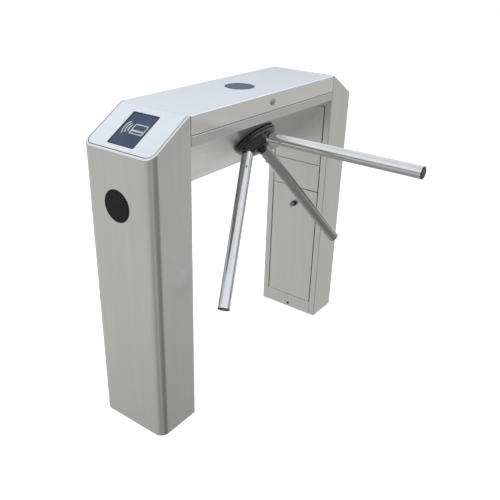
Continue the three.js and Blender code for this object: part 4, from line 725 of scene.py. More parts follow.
# Finishes
class Finish(Nodes):
    """A material on object coordinates, built up layer by layer on its Principled shader."""

    def __init__(self, name, **values):
        self.material = bpy.data.materials.new(name)
        self.material.use_nodes = True
        super().__init__(self.material.node_tree)
        self.shader = self.tree.nodes["Principled BSDF"]
        for socket, value in values.items():
            self.shader.inputs[socket.replace("_", " ")].default_value = value
        self.place = self.add("ShaderNodeTexCoord")["Object"]

    def noise(self, waves, detail=3, roughness=0.55):
        """Noise in waves per metre: one number, or one for each axis."""
        scale = waves if isinstance(waves, list) else [waves] * 3
        place = self.add("ShaderNodeMapping", {"Vector": self.place, "Scale": scale})["Vector"]
        settings = {"Vector": place, "Scale": 1, "Detail": detail, "Roughness": roughness}
        return self.add("ShaderNodeTexNoise", settings)["Fac"]

    def blend(self, pattern, low, high, start=0.3, end=0.7):
        return self.ramp(pattern, [(start, low), (end, high)])

    def by_height(self, below, start, end):
        """A tint below a height on the piece, in metres, that leaves what is above it as it is."""
        height = self.add("ShaderNodeSeparateXYZ", {"Vector": self.place})["Z"]
        return self.blend(self.spread(height, start, end), below, (1, 1, 1), 0, 1)

    def link(self, source, socket):
        self.tree.links.new(source, self.shader.inputs[socket])

    def color(self, source):
        self.link(source, "Base Color")

    def roughness(self, pattern, low, high):
        self.link(self.spread(pattern, 0.25, 0.75, low, high), "Roughness")

    def bump(self, pattern, height, strength):
        inputs = {"Distance": height, "Strength": strength, "Height": pattern}
        self.link(self.add("ShaderNodeBump", inputs)["Normal"], "Normal")


def grey(level, tint=(1, 1, 1)):
    return tuple(level * t for t in tint)


def grained(along, even, drawn):
    """A number of waves for each axis, fewer along the grain."""
    return [drawn if axis == along else even for axis in "XYZ"]


def brushed_steel(name, along, level, low, high, tint, depth, skirt_painted_shade=None):
    """Satin stainless sheet with its grain along one axis."""
    finish = Finish(name, Metallic=1.0)
    long_grain = finish.noise(grained(along, 1400, 9), 4, 0.65)
    bands = finish.noise(grained(along, 60, 2.5), 2)
    smears = finish.noise(5)
    contrast = 0.2 * depth
    grain = finish.blend(long_grain, grey(level * (1 - contrast), tint), grey(level * (1 + contrast), tint))
    tone = finish.blend(bands, grey(level * 0.965, tint), grey(level * 1.035, tint))
    color = finish.mixed(grain, tone, 0.5)
    # Below a height the sheet turns warmer and darker: painted shade on the lid's upright skirt and fold
    if skirt_painted_shade:
        color = finish.mixed(color, finish.by_height(skirt_painted_shade, SKIRT_SHADE_START, SKIRT_SHADE_END), 1, "MULTIPLY")
    finish.color(color)
    finish.roughness(finish.mixed(long_grain, smears, 0.5), low, high)
    finish.bump(long_grain, 0.00006, depth)
    return finish.material


def polished_steel(name):
    finish = Finish(name, Metallic=1.0)
    fine = finish.noise(700)
    smears = finish.noise(14, 4)
    finish.color(finish.blend(smears, grey(0.684), grey(0.7488, (1, 1, 1.01))))
    finish.roughness(finish.mixed(fine, smears, 0.6), 0.12, 0.20)
    finish.bump(fine, 0.000008, 0.25)
    return finish.material


def cast_black(name):
    """Cast metal under a fine textured black coat, worn a little."""
    finish = Finish(name, Specular_IOR_Level=0.6, Coat_Weight=0.7, Coat_Roughness=0.16)
    grains = finish.noise(900)
    patches = finish.noise(30, 4)
    finish.color(finish.blend(patches, (0.011, 0.012, 0.014), (0.026, 0.025, 0.028)))
    finish.roughness(finish.mixed(grains, patches, 0.5), 0.26, 0.42)
    finish.bump(grains, 0.00012, 0.4)
    return finish.material


def moulded(name, level, rough):
    """Moulded plastic, as light as its level, with a fine spark-eroded grain."""
    finish = Finish(name)
    grains = finish.noise(1600, 2)
    patches = finish.noise(40)
    finish.color(finish.blend(patches, grey(level * 0.8), grey(level * 1.25)))
    finish.roughness(patches, rough - 0.06, rough + 0.08)
    finish.bump(grains, 0.00008, 0.35)
    return finish.material


def clear_panel(name, low, high, rough, gloss):
    """Printed glass: a smooth glossy face over a faintly clouded colour."""
    finish = Finish(name, Specular_IOR_Level=gloss)
    clouds = finish.noise(16)
    dust = finish.noise(450, 4, 0.7)
    finish.color(finish.blend(clouds, low, high))
    finish.roughness(dust, rough, rough + 0.12)
    finish.bump(dust, 0.00001, 0.2)
    return finish.material


def plated(name, low, high, rough=0.34):
    """Zinc plate and machined metal: soft mottling under fine tool marks."""
    finish = Finish(name, Metallic=1.0)
    spangle = finish.noise(90, 5, 0.6)
    marks = finish.noise(1200, 2)
    finish.color(finish.blend(spangle, low, high))
    finish.roughness(spangle, rough - 0.08, rough + 0.12)
    finish.bump(marks, 0.00005, 0.3)
    return finish.material


def rubber_sheath(name):
    finish = Finish(name)
    grains = finish.noise(800)
    finish.color(finish.blend(grains, (0.014, 0.014, 0.016), (0.035, 0.035, 0.037)))
    finish.roughness(grains, 0.5, 0.7)
    finish.bump(grains, 0.0001, 0.4)
    return finish.material


def lacquered_board(name):
    finish = Finish(name, Coat_Weight=0.4, Coat_Roughness=0.1)
    weave = finish.noise(600, 2)
    tracks = finish.noise([120, 900, 120], 2)
    finish.color(finish.blend(tracks, (0.008, 0.07, 0.03), (0.02, 0.14, 0.06), 0.45, 0.55))
    finish.roughness(weave, 0.3, 0.45)
    finish.bump(tracks, 0.00004, 0.5)
    return finish.material


UPRIGHT_STEEL = brushed_steel("steel_upright_grain", "Z", 0.74, 0.24, 0.36, (1, 1, 0.98), 0.35)
BEAM_STEEL = brushed_steel("steel_lengthwise_grain", "X", 0.68, 0.24, 0.36, (1, 1, 0.99), 0.3)
# The lid and cover are the same steel as the rest, set brighter and bluer: painted sky light on the top
# faces. Their smoother, finer grain is the steel's own
LID_STEEL = brushed_steel("lid_steel", "X", 0.91, 0.20, 0.30, (0.95, 0.99, 1.03), 0.16, (1, 0.945, 0.88))
COVER_STEEL = brushed_steel("cover_steel", "Y", 0.79, 0.20, 0.30, (0.93, 0.99, 1.05), 0.16)
ARM_STEEL = polished_steel("arm_steel")
HUB_BLACK = cast_black("hub_casting_black")
CAP_BLACK = moulded("moulded_cap_black", 0.02, 0.4)
KNOB_STEEL = plated("knob_plate", (0.20, 0.21, 0.21), (0.32, 0.33, 0.33), 0.3)
WINDOW_GLASS = clear_panel("reader_window_glass", (0.018, 0.034, 0.066), (0.032, 0.052, 0.088), 0.1, 0.2)
WINDOW_EDGE = moulded("reader_edge_black", 0.012, 0.3)
PRINT_GREY = moulded("reader_print_grey", 0.34, 0.4)
TOP_LENS = clear_panel("top_lens_slate", (0.020, 0.046, 0.082), (0.030, 0.060, 0.100), 0.25, 0.05)
END_LENS = clear_panel("end_lens_black", (0.004, 0.005, 0.007), (0.008, 0.009, 0.012), 0.1, 0.15)
TOP_DOT = moulded("top_lamp_dot", 0.10, 0.3)
END_DOT = moulded("end_lamp_dot", 0.028, 0.3)
ZINC = plated("zinc_plate", (0.42, 0.44, 0.47), (0.58, 0.60, 0.62))
GROUND_STEEL = plated("ground_steel", (0.50, 0.51, 0.53), (0.64, 0.65, 0.66), 0.22)
BRASS = plated("brass", (0.56, 0.38, 0.14), (0.72, 0.52, 0.24), 0.26)
COPPER = plated("enamelled_copper", (0.33, 0.11, 0.04), (0.50, 0.19, 0.08), 0.3)
# Black rubber for the leads; the same colour also serves the painted shade strips in the grooves
SHEATH = rubber_sheath("cable_rubber")
CORE_GREY = moulded("core_grey", 0.36, 0.45)
BOARD = lacquered_board("board_green")

SLOT_FINISH = {
    "brushed_steel": BEAM_STEEL,
    "top_steel": COVER_STEEL,
    "polished_steel": ARM_STEEL,
    "black_casting": HUB_BLACK,
    "black_plastic": CAP_BLACK,
    "reader_glass": WINDOW_GLASS,
    "top_lens": TOP_LENS,
    "end_lens": END_LENS,
    "zinc_plated": ZINC,
    "ground_steel": GROUND_STEEL,
    "brass": BRASS,
    "cable_sheath": SHEATH,
    "circuit_board": BOARD,
}


# Pedestals: u runs outwards from the inner face; side is -1 for the near one and 1 for the far one
def slope_z(u):
    return HEIGHT - (u - CREASE) * SLOPE_DROP / SLOPE_RUN


def sheet_top(place):
    """The bare sheet stops under the lid, and its lips stop under the sloped cover."""
    if abs(place.y) < OPENING_HALF + 2 * SHEET:
        return min(LID_REST, slope_z(place.x) - LIP_DROP)
    return LID_REST


def on_slope(side):
    middle = side * (INNER_X + CREASE + SLOPE_RUN / 2)
    return at(middle, 0, HEIGHT - SLOPE_DROP / 2) @ spin(side * SLOPE, "Y")


def on_reader(side):
    return on_slope(side) @ at(0, READER_Y, 0)


def from_end(side):
    return at(side * LENGTH / 2, END_WINDOW_Y, END_WINDOW_Z) @ spin(-side * QUARTER, "Y")


def from_door(side, z):
    """From the middle of a door, with z out of it into the pedestal."""
    return at(side * INNER_X, 0, z) @ spin(side * QUARTER, "Y")


def block_behind(side, u0, u1, half_y, z0, z1):
    """A block across a pedestal, between two depths behind its inner face."""
    near, far = sorted((side * (INNER_X + u0), side * (INNER_X + u1)))
    return cuboid(near, -half_y, z0, far, half_y, z1)


def rim_section():
    """The shell's section seen along its plan: (inset, drop below the slope), None for the floor."""
    section = [(0, None)]
    for k in range(7):
        angle = k * math.pi / 12
        section.append((RIM_ROUND * (1 - math.cos(angle)), RIM_ROUND * (1 - math.sin(angle))))
    section += [(RIM_WIDTH - 0.5, 0), (RIM_WIDTH - 0.15, 0.15), (RIM_WIDTH, 0.5)]
    section += [(RIM_WIDTH, COVER_SEAT), (LANDING, COVER_SEAT), (LANDING, COVER_SEAT + SHEET)]
    return section + [(SHEET, COVER_SEAT + SHEET), (SHEET, None)]


def sheet_section(count):
    """The same number of points round a bare sheet's edge."""
    bare = [(0, None), (0, 0.4), (0.12, 0.12), (0.4, 0)]
    bare += [(SHEET - 0.3, 0)] * (count - len(bare) - 2)
    return bare + [(SHEET, 0.3), (SHEET, None)]


def pedestal_shell(side):
    corners = [(LIP_DEPTH, -OPENING_HALF), (0, -OPENING_HALF, BEND), (0, -HALF_WIDTH, BEND),
               (PEDESTAL_DEPTH, -HALF_WIDTH, CORNER_RADIUS), (PEDESTAL_DEPTH, HALF_WIDTH, CORNER_RADIUS),
               (0, HALF_WIDTH, BEND), (0, OPENING_HALF, BEND), (LIP_DEPTH, OPENING_HALF)]
    rim = rim_section()
    sheet = sheet_section(len(rim))
    stations = []
    path = bent_path(corners, 14)
    for i, (place, inward) in enumerate(path):
        on_lip = abs(place.y) < OPENING_HALF + 1
        bare = place.x < CREASE or on_lip and place.x < LIP_DEPTH + 1
        stations.append((place, inward, sheet if bare else rim))
        if i + 1 < len(path) and not on_lip:
            after = path[i + 1][0]
            lap = (Vector((LAP_END, place.y)), inward, sheet)
            crease = (Vector((CREASE, place.y)), inward, rim)
            if place.x < CREASE < after.x:
                stations += [lap, crease]
            if place.x > CREASE > after.x:
                stations += [crease, lap]
    rings = []
    for place, inward, section in stations:
        ring = []
        for inset, drop in section:
            spot = place + inward * inset
            top = sheet_top(spot) if section is sheet else slope_z(spot.x)
            z = 0 if drop is None else top - drop
            ring.append((side * (INNER_X + spot.x), spot.y, z))
        rings.append(ring)
    window = moved(disc(END_WINDOW_RADIUS, -5, 5, sides=96), from_end(side))
    near, far = sorted((side * (INNER_X - 5), side * (INNER_X + CREASE)))
    pocket = cuboid(near, 119, BACK_WALL_TOP, far, 140, HEIGHT + 10)
    return carved(loft(rings), window, pocket)


def plinth_face(side):
    """The folded sill under the door, with its screw hole."""
    sill = folded([(LIP_DEPTH, PLINTH_HEIGHT), (0, PLINTH_HEIGHT, 2.5), (0, 0)])
    half = OPENING_HALF + 0.5
    rings = [[(side * (INNER_X + u), y, z) for u, z in sill] for y in (-half, half)]
    hole = moved(disc(3.5, -5, 5, sides=24), from_door(side, PLINTH_SCREW_Z))
    return carved(loft(rings), hole)


def header_bar(side):
    """The bar under the lid's end and the cover's upper edge."""
    low = LID_REST - 6
    depth = CREASE + LANDING
    bar = [(0, low), (depth, low - 6), (depth, slope_z(depth) - 0.6), (CREASE, LID_REST), (0, LID_REST)]
    return loft([[(side * (INNER_X + u), y, z) for u, z in bar] for y in (-118, 118)])


def end_outline(side, inset, start):
    """A cover's outline in the slope's own plane."""
    radius = CORNER_RADIUS - inset
    middle = CREASE + SLOPE_RUN / 2
    reach = PEDESTAL_DEPTH - CORNER_RADIUS
    loop = [(start, inset - HALF_WIDTH)]
    for sign, first in ((-1, -90), (1, 0)):
        for k in range(15):
            angle = math.radians(first + 90 * k / 14)
            loop.append((reach + radius * math.cos(angle),
                         sign * (HALF_WIDTH - CORNER_RADIUS) + radius * math.sin(angle)))
    loop.append((start, HALF_WIDTH - inset))
    return [Vector((side * (u - middle) / math.cos(SLOPE), y)) for u, y in loop]


def end_cover(side):
    half_x, half_y = READER_LENGTH / 2 + 0.3, READER_WIDTH / 2 + 0.3
    window = rectangle(-half_x, READER_Y - half_y, half_x, READER_Y + half_y, 3.2)
    return plate(end_outline(side, COVER_INSET, CREASE + 0.3), [window], 2, 0.4)


def cover_seal(side):
    """A dark strip in the groove round a cover: painted shade, standing in for the groove's shadow."""
    outer = end_outline(side, RIM_WIDTH + 0.1, CREASE + 0.3)
    inner = end_outline(side, COVER_INSET - 0.1, CREASE + 0.9)
    return shifted(plate(outer, [inner], 1.1, 0.2), z=-1.1)


def reader_window():
    half_x, half_y = READER_LENGTH / 2 - 0.9, READER_WIDTH / 2 - 0.9
    return slab(-half_x, -half_y, half_x, half_y, 2.2, -0.3, 1.9, 0.35)


def reader_frame():
    """The moulded black edge round the window."""
    half_x, half_y = READER_LENGTH / 2, READER_WIDTH / 2
    inner = rectangle(1.8 - half_x, 1.8 - half_y, half_x - 1.8, half_y - 1.8, 1.6)
    return slab(-half_x, -half_y, half_x, half_y, 3, 1.2, 3.4, 0.5, [inner])


def reader_motif():
    """A plain card with three arcs beside it."""
    inner = rectangle(-23.6, -11.6, 3.6, 7.6, 1.4)
    card = slab(-26, -14, 6, 10, 3, 0, MOTIF_THICKNESS, MOTIF_EDGE, [inner])
    stripe = slab(-23.6, 0, 3.6, 4, 0.3, 0, MOTIF_THICKNESS, MOTIF_EDGE)
    sweep = [math.radians(-38 + 76 * k / 14) for k in range(15)]
    arcs = []
    for radius in (14, 20, 26):
        outer = [Vector((radius * math.cos(a), radius * math.sin(a) - 2)) for a in sweep]
        inner = [Vector(((radius - 2.6) * math.cos(a), (radius - 2.6) * math.sin(a) - 2)) for a in sweep]
        arcs.append(plate(outer + inner[::-1], (), MOTIF_THICKNESS, MOTIF_EDGE))
    return moved(shifted(joined(card, stripe, *arcs), x=-1, z=0.1), Matrix.Diagonal((1.55, 1.55, 1, 1)))


def tray(side, corners, fold):
    """A folded tray whose face lies on the inner face; corners are (y, z)."""
    rows = []
    for k in range(5):
        angle = k * math.pi / 8
        rows.append((TRAY_ROLL * (1 - math.sin(angle)), TRAY_ROLL * (1 - math.cos(angle))))
    rows += [(0, fold - 0.2), (0.2, fold), (SHEET - 0.2, fold), (SHEET, fold - 0.2), (SHEET, SHEET)]
    rings = []
    for inset, depth in rows:
        loop = inset_loop(corners, inset)
        rings.append([(side * (INNER_X + depth), p.x, p.y) for p in loop])
    return loft(rings)


def panel_corners():
    slant_z = SLANT_TOP + 22 / math.cos(SLANT)
    top_y = (slant_z - PANEL_TOP) / math.tan(SLANT) - HALF_WIDTH
    left_z = slant_z - (HALF_WIDTH - PANEL_HALF) * math.tan(SLANT)
    return [(-PANEL_HALF, PANEL_BOTTOM), (PANEL_HALF, PANEL_BOTTOM), (PANEL_HALF, PANEL_TOP),
            (top_y, PANEL_TOP), (-PANEL_HALF, left_z)]


def inner_panel(side):
    low, high = PANEL_LINE_Z - PANEL_LINE_HALF, PANEL_LINE_Z + PANEL_LINE_HALF
    groove = block_behind(side, -1, PANEL_LINE_DEPTH, 110, low, high)
    rail = slab(-103.7, 0, 103.7, 12, 0.5, 0, SHEET, 0.25)
    rails = [moved(shifted(rail, y=z, z=-13), from_panel(side)) for z in (600, 690)]
    return joined(carved(tray(side, panel_corners(), 16), groove), *rails)


def panel_joint(side):
    """A dark strip at the bottom of the groove across the panel: painted shade, standing in for the
    groove's shadow.
    """
    half = PANEL_LINE_HALF - 0.05
    return block_behind(side, 0.7, PANEL_LINE_DEPTH + 0.05, 98, PANEL_LINE_Z - half, PANEL_LINE_Z + half)


def from_panel(side):
    """From a plate's own plane, with y up and its face towards the passage between the pedestals."""
    return at(side * INNER_X) @ Matrix.Diagonal((-side, -side, 1, 1)) @ ALONG_X


def door(side):
    corners = [(-PANEL_HALF, DOOR_BOTTOM), (DOOR_EDGE, DOOR_BOTTOM), (DOOR_EDGE, DOOR_TOP),
               (-PANEL_HALF, DOOR_TOP)]
    hole = moved(disc(LOCK_HOLE, -5, 5, sides=32), from_door(side, DOOR_LOCK_Z))
    pins = [shifted(disc(3, z, z + 6.7, 0.5, 24), x=side * (INNER_X + DOOR_PIN[0]), y=DOOR_PIN[1])
            for z in (52, DOOR_TOP - 0.7)]
    return joined(carved(tray(side, corners, 10), hole), *pins)


def lamp_case(radius):
    """The ring round a lens, the flange behind the sheet and the deep can behind that."""
    ring = washer(radius - 0.3, radius - 2.2, -0.5, 1.8, 0.5, 96)
    flange = washer(radius + 6, 38, 1.8, 4.8)
    return joined(ring, flange, washer(36, 30, 4.5, 24), disc(30.5, 20, 23.6))


def lamp_dots(finish, radius):
    """The lamps of an indicator, just proud of its smoked lens."""
    dot = disc(1.25, 0.02, 0.5, 0.2, 12, 2)
    return round_grid_of(dot, finish, 15, 84, radius - 7)


# Locks: along Z, with the head outside the sheet at z = 0
def lock_case(head):
    front = -0.3 - head
    section = [(6.3, front), (11, front), (11, -0.3), (9, -0.3), (9, 18), (6.3, 18)]
    nut = washer(11, 8.9, 1.8, 4.3, 0.3, 6)
    return joined(hoop(rounded_loop(section, 0.35, 3)), nut)


def lock_barrel(head, knob_radius, knob_length, cam_length):
    """A turning knob or plug with its keyway, and the cam behind the sheet."""
    base = -0.6 - head
    end = base - knob_length
    profile = [(0, end), (knob_radius, end), (knob_radius, base), (6, base), (6, 20.8), (0, 20.8)]
    knob = spun(profile, 0.6 if knob_length > 5 else 0.25)
    keyway = cuboid(-3.5, -0.6, end - 3, 3.5, 0.6, end + 6)
    return joined(carved(knob, keyway), slab(-5, -5, cam_length, 5, 4.6, 20.8, 2.5, 0.3))


LID_LOCK_PLACE = at(*LID_LOCK) @ spin(-QUARTER, "X")


def knob_grip(radius, base, length):
    """Raised ribs round a knob."""
    rib = plate(rectangle(-0.55, 0, 0.55, length - 3, 0.4, 3), (), 0.9, 0.25)
    upright = moved(rib, at(0.15, 0, base - length + 1.5) @ ALONG_X)
    return ring_of(upright, KNOB_STEEL, 20, radius)


def add_pedestal(side):
    name = "near" if side < 0 else "far"
    slope, reader, end = on_slope(side), on_reader(side), from_end(side)
    lock = from_door(side, DOOR_LOCK_Z) @ spin(-QUARTER, "Z")
    shell = joined(pedestal_shell(side), plinth_face(side), header_bar(side))
    paired(name, "pedestal_sheet", shell, UPRIGHT_STEEL, "pedestal_shell")
    paired(name, "slope_cover", end_cover(side), COVER_STEEL, "end_cover", slope)
    # A dark strip in the cover's groove: painted shade
    paired(name, "cover_seal", cover_seal(side), SHEATH, "", slope)
    screw = joined(disc(5.2, -2.2, 0.2, 0.9, 32), disc(3.2, 0, 9, 0.4, 24))
    paired(name, "plinth_screw", screw, CAP_BLACK, "", from_door(side, PLINTH_SCREW_Z))
    paired(name, "window_glass", reader_window(), WINDOW_GLASS, "reader_window", reader)
    paired(name, "window_edge", reader_frame(), WINDOW_EDGE, "", reader)
    upright = reader @ spin(QUARTER, "Z")
    paired(name, "window_motif", reader_motif(), PRINT_GREY, "", upright)
    paired(name, "panel_sheet", inner_panel(side), UPRIGHT_STEEL, "inner_panel")
    # A dark strip in the panel's groove: painted shade
    paired(name, "panel_joint", panel_joint(side), SHEATH)
    paired(name, "door_sheet", door(side), UPRIGHT_STEEL, "door", body=f"{name}_door")
    lens = disc(END_WINDOW_RADIUS - 1.6, 0.2, 2, 0.6, 96)
    paired(name, "end_lens", lens, END_LENS, "end_indicator", end)
    paired(name, "end_lamp_case", lamp_case(END_WINDOW_RADIUS), CAP_BLACK, "", end)
    paired(name, "end_lamp_dots", lamp_dots(END_DOT, END_WINDOW_RADIUS), END_DOT, "", end)
    paired(name, "lock_case", lock_case(5), CAP_BLACK, "door_lock_body", lock,
           f"{name}_door")
    knob = joined(lock_barrel(5, 8.5, 15, 84), knob_grip(8.5, -5.6, 15))
    paired(name, "lock_knob", knob, KNOB_STEEL, "door_lock_knob", lock,
           f"{name}_door_lock")


add_pedestal(-1)
add_pedestal(1)


# Beam and lid
def beam_sheet():
    ledge = 12 - HALF_WIDTH
    corners = [(ledge, BEAM_LEDGE + 15), (ledge, BEAM_LEDGE, BEND), (-HALF_WIDTH, BEAM_LEDGE, BEND),
               (-HALF_WIDTH, SLANT_TOP, BEND), (SLANT_FOOT_Y, BEAM_BOTTOM, BEND),
               (HALF_WIDTH, BEAM_BOTTOM, BEND), (HALF_WIDTH, BACK_WALL_TOP)]
    shaft_hole = moved(disc(43, -8, 8, sides=96), ON_SLANT)
    return carved(drawn_out(folded(corners), BEAM_HALF), shaft_hole)


def lid_sheet():
    corners = [(HALF_WIDTH, HEIGHT), (-HALF_WIDTH, HEIGHT, BEND), (-HALF_WIDTH, SKIRT_BOTTOM, BEND),
               (6 - HALF_WIDTH, SKIRT_BOTTOM)]
    ends = [cuboid(x0, -140, 930, x1, 140, HEIGHT - 1.25)
            for x0, x1 in ((-LID_HALF - 5, -BEAM_HALF), (BEAM_HALF, LID_HALF + 5))]
    window = shifted(disc(LID_WINDOW_RADIUS, 990, 1010, sides=96), x=LID_WINDOW[0], y=LID_WINDOW[1])
    lock_hole = moved(disc(LOCK_HOLE, -5, 5, sides=32), LID_LOCK_PLACE)
    return carved(drawn_out(folded(corners), LID_HALF), *ends, window, lock_hole)


ON_LID = at(*LID_WINDOW, HEIGHT) @ spin(math.pi, "X")


def hinge_side(first):
    """Every second knuckle with its leaf: the trough's from the first one, the lid's from the next."""
    tube = washer(HINGE_RADIUS, KNUCKLE_BORE, 0, KNUCKLE_LENGTH, 0.4, 32)
    knuckle = shifted(moved(tube, ALONG_X), y=HINGE_Y, z=HINGE_Z)
    low, high, reach = LID_LEAF if first else TROUGH_LEAF
    leaf = cuboid(0, LEAF_Y, low, KNUCKLE_LENGTH, reach, high)
    rivet = moved(disc(1.9, -0.9, 3, 0.4, 16), at(0, LEAF_Y, 980) @ spin(-QUARTER, "X"))
    rivets = [] if first else [shifted(rivet, x=x) for x in (14, 60)]
    start = (HINGE_START + 0.15 + first * HINGE_PITCH, 0, 0)
    return row_of(joined(knuckle, leaf, *rivets), ZINC, 5, start, (2 * HINGE_PITCH, 0, 0))


def hinge_end(side):
    """The short fixed knuckle that closes the hinge at each end of the beam."""
    start, end = sorted((side * 370.5, side * 383.9))
    low, high, reach = TROUGH_LEAF
    tube = moved(washer(HINGE_RADIUS, KNUCKLE_BORE, start, end, 0.4, 32), ALONG_X)
    return joined(shifted(tube, y=HINGE_Y, z=HINGE_Z), cuboid(start, LEAF_Y, low, end, reach, high))


def frame_studs():
    """The welded studs and nuts that hold the mechanism frame on the slanted face."""
    nut = spun([(0, -14.6), (7.5, -14.6), (7.5, -8.1), (0, -8.1)], 0.6, 6)
    stud = joined(disc(4, -18.6, -1.2, 0.6, 24), nut, washer(8.4, 4.1, -8.1, -7.8, 0.1, 32))
    rows = [row_of(stud, ZINC, 2, (-STUD_X, y, 0), (2 * STUD_X, 0, 0)) for y in STUD_ROWS]
    return joined(*rows)


def add_beam():
    piece("beam_sheet", beam_sheet(), BEAM_STEEL, "cabinet", ["beam_trough"])
    piece("lid_sheet", lid_sheet(), LID_STEEL, "lid", ["lid"])
    lens = disc(LID_WINDOW_RADIUS - 1.8, 0.2, 2, 0.5, 96)
    piece("lid_lens", lens, TOP_LENS, "lid", ["lid_indicator"], ON_LID)
    piece("lid_lamp_case", lamp_case(LID_WINDOW_RADIUS), CAP_BLACK, "lid", (), ON_LID)
    piece("lid_lamp_dots", lamp_dots(TOP_DOT, LID_WINDOW_RADIUS), TOP_DOT, "lid", (), ON_LID)
    trough_side = joined(hinge_side(0), hinge_end(-1), hinge_end(1))
    piece("trough_hinge", trough_side, ZINC, "cabinet")
    piece("lid_hinge_side", hinge_side(1), ZINC, "lid")
    piece("frame_studs", frame_studs(), ZINC, "cabinet", (), ON_SLANT)
    piece("lid_lock_case", lock_case(2.5), ZINC, "lid", ["lid_lock_body"], LID_LOCK_PLACE)
    piece("lid_lock_barrel", lock_barrel(2.5, 6, 1, 24), ZINC, "lid_lock",
          ["lid_lock_plug"], LID_LOCK_PLACE)


add_beam()


# Hub and arms
def arm_place(k):
    return ON_HUB @ at(z=-ARM_MEET) @ spin(k * 2 * math.pi / 3, "Z") @ spin(-ARM_CONE, "X")


def hub_flange():
    profile = [(13, 2), (74.6, 2), (76, 3.4), (76, 7.6), (74.6, 9), (69, 9), (69, 12), (71.4, 12),
               (72, 12.6), (72, 17.6), (70.6, 19), (13, 19)]
    return hoop(eased(profile, 0.4, 3), 128)


def hub_casting():
    """The six-sided nose of the hub with its three arm sockets, run together as a casting is."""
    nose = turned([(0, 16), (66, 16), (66, 19), (47, 39), (41, 44), (0, 44)], 6)
    socket = turned([(0, SOCKET_START), (SOCKET_RADIUS, SOCKET_START), (SOCKET_RADIUS, SOCKET_END),
                     (0, SOCKET_END)])
    bore = disc(ARM_RADIUS + 0.5, ARM_ROOT, SOCKET_END + 20)
    places = [ON_HUB.inverted() @ arm_place(k) for k in range(3)]
    thing = loose_object(joined(nose, *(moved(socket, place) for place in places)))
    remesh = thing.modifiers.new("remesh", "REMESH")
    remesh.mode = "VOXEL"
    remesh.voxel_size = CAST_VOXEL
    smooth = thing.modifiers.new("smooth", "SMOOTH")
    smooth.factor = 0.5
    smooth.iterations = 5
    cast = evaluated_shape(thing)
    discard(thing)
    below = shifted(disc(120, -80, 0), z=18.9)
    return carved(cast, below, *(moved(bore, place) for place in places))


def cap_bolt():
    head = spun([(0, 40), (13, 40), (13, 55), (10.5, 58), (0, 58.3)], 0.7)
    socket = prism(circle(5.8, 6), 52, 62)
    return joined(carved(head, socket), washer(19, 12.5, 43.8, 46, 0.5))


def arm_tube():
    return hoop(rectangle(ARM_RADIUS - ARM_WALL, ARM_ROOT, ARM_RADIUS, ARM_REACH - 3, 0.6, 3), 96)


def arm_cap():
    profile = [(0, 568), (16.7, 568), (16.7, 586.3), (18.7, 586.3), (18.9, 588), (17.2, 589), (0, 589)]
    return spun(profile, 0.5, 96)


def cross_bolt():
    dome = spun([(0, 17), (4, 17), (4, 20.3), (2.8, 21.5), (0, 21.5)], 0.4, 32)
    head = carved(dome, prism(circle(1.6, 6), 20.2, 23))
    return joined(*(moved(head, at(z=ARM_BOLT) @ spin(angle, "Y")) for angle in (-QUARTER, QUARTER)))


def add_rotor():
    piece("hub_flange", hub_flange(), HUB_BLACK, "rotor", ["hub_body"], ON_HUB)
    piece("hub_casting", hub_casting(), HUB_BLACK, "rotor", ["hub_body"], ON_HUB, sharp=40)
    piece("hub_bolt", cap_bolt(), CAP_BLACK, "rotor", ["hub_cap_bolt"], ON_HUB)
    for k in (1, 2, 3):
        place = arm_place(k - 1)
        piece(f"arm_tube_{k}", arm_tube(), ARM_STEEL, "rotor", [f"arm_{k}"], place)
        piece(f"arm_end_{k}", arm_cap(), CAP_BLACK, "rotor", [f"arm_cap_{k}"], place)
        piece(f"arm_bolt_{k}", cross_bolt(), ZINC, "rotor", (), place)


add_rotor()


# Electronics on the back wall: x runs along the board, y up it and z out towards the passage
def board_plate():
    x, y = BOARD_HOLE
    holes = [circle(2.2, 24, hole_x, hole_y) for hole_x in (-x, x) for hole_y in (-y, y)]
    return slab(-80, -45, 80, 45, 3, 0, 1.6, 0.2, holes)


def board_standoffs():
    x, y = BOARD_HOLE
    post = spun([(0, -11.3), (4, -11.3), (4, -1.6), (0, -1.6)], 0.4, 6)
    head = carved(disc(3.6, 0.05, 2.4, 0.6, 24), cuboid(-4, -0.5, 1.5, 4, 0.5, 4))
    screwed = joined(post, head, disc(1.6, -1.5, 0.2, 0.2, 16))
    return joined(*(row_of(screwed, BRASS, 2, (-x, row, 0), (2 * x, 0, 0)) for row in (-y, y)))


def terminal_row():
    block = slab(-4.3, -6, 4.3, 6, 0.5, 13.9, 13.8, 0.35)
    screw_well = disc(2.9, 10.5, 16, 0.2, 24)
    entry = moved(disc(1.8, -5, 9, 0.2, 20), at(z=7) @ spin(-QUARTER, "X"))
    return row_of(carved(block, screw_well, entry), CAP_BLACK, *TERMINALS)


def terminal_screws():
    head = carved(disc(2.6, 10.6, 12.4, 0.3, 24), cuboid(-3, -0.4, 11.7, 3, 0.4, 14))
    return row_of(head, ZINC, *TERMINALS)


def board_chips():
    case = slab(-17, -6.8, 17, 6.8, 0.6, 2.95, 2.4, 0.35, [circle(0.9, 16, -14, 4)])
    return row_of(case, CAP_BLACK, 3, (-CHIP_PITCH, 0, 0), (CHIP_PITCH, 0, 0))


def chip_pins():
    lead = folded([(6.4, 1.7), (8.2, 1.7, 0.3), (8.2, 0.1, 0.3), (9, 0.1)], 0.25, 3)
    pin = drawn_out(lead, 0.3)
    rows = [row_of(moved(pin, spin(angle, "Z")), ZINC, 14, (CHIP_PITCH * k - 14.95, 0, 0), (2.3, 0, 0))
            for k in (-1, 0, 1) for angle in (0, math.pi)]
    return joined(*rows)


def board_relays():
    return row_of(slab(-9.5, -7.6, 9.5, 7.6, 1, 15.1, 15, 0.5), CAP_BLACK, 4, (-52, -27, 0), (23, 0, 0))


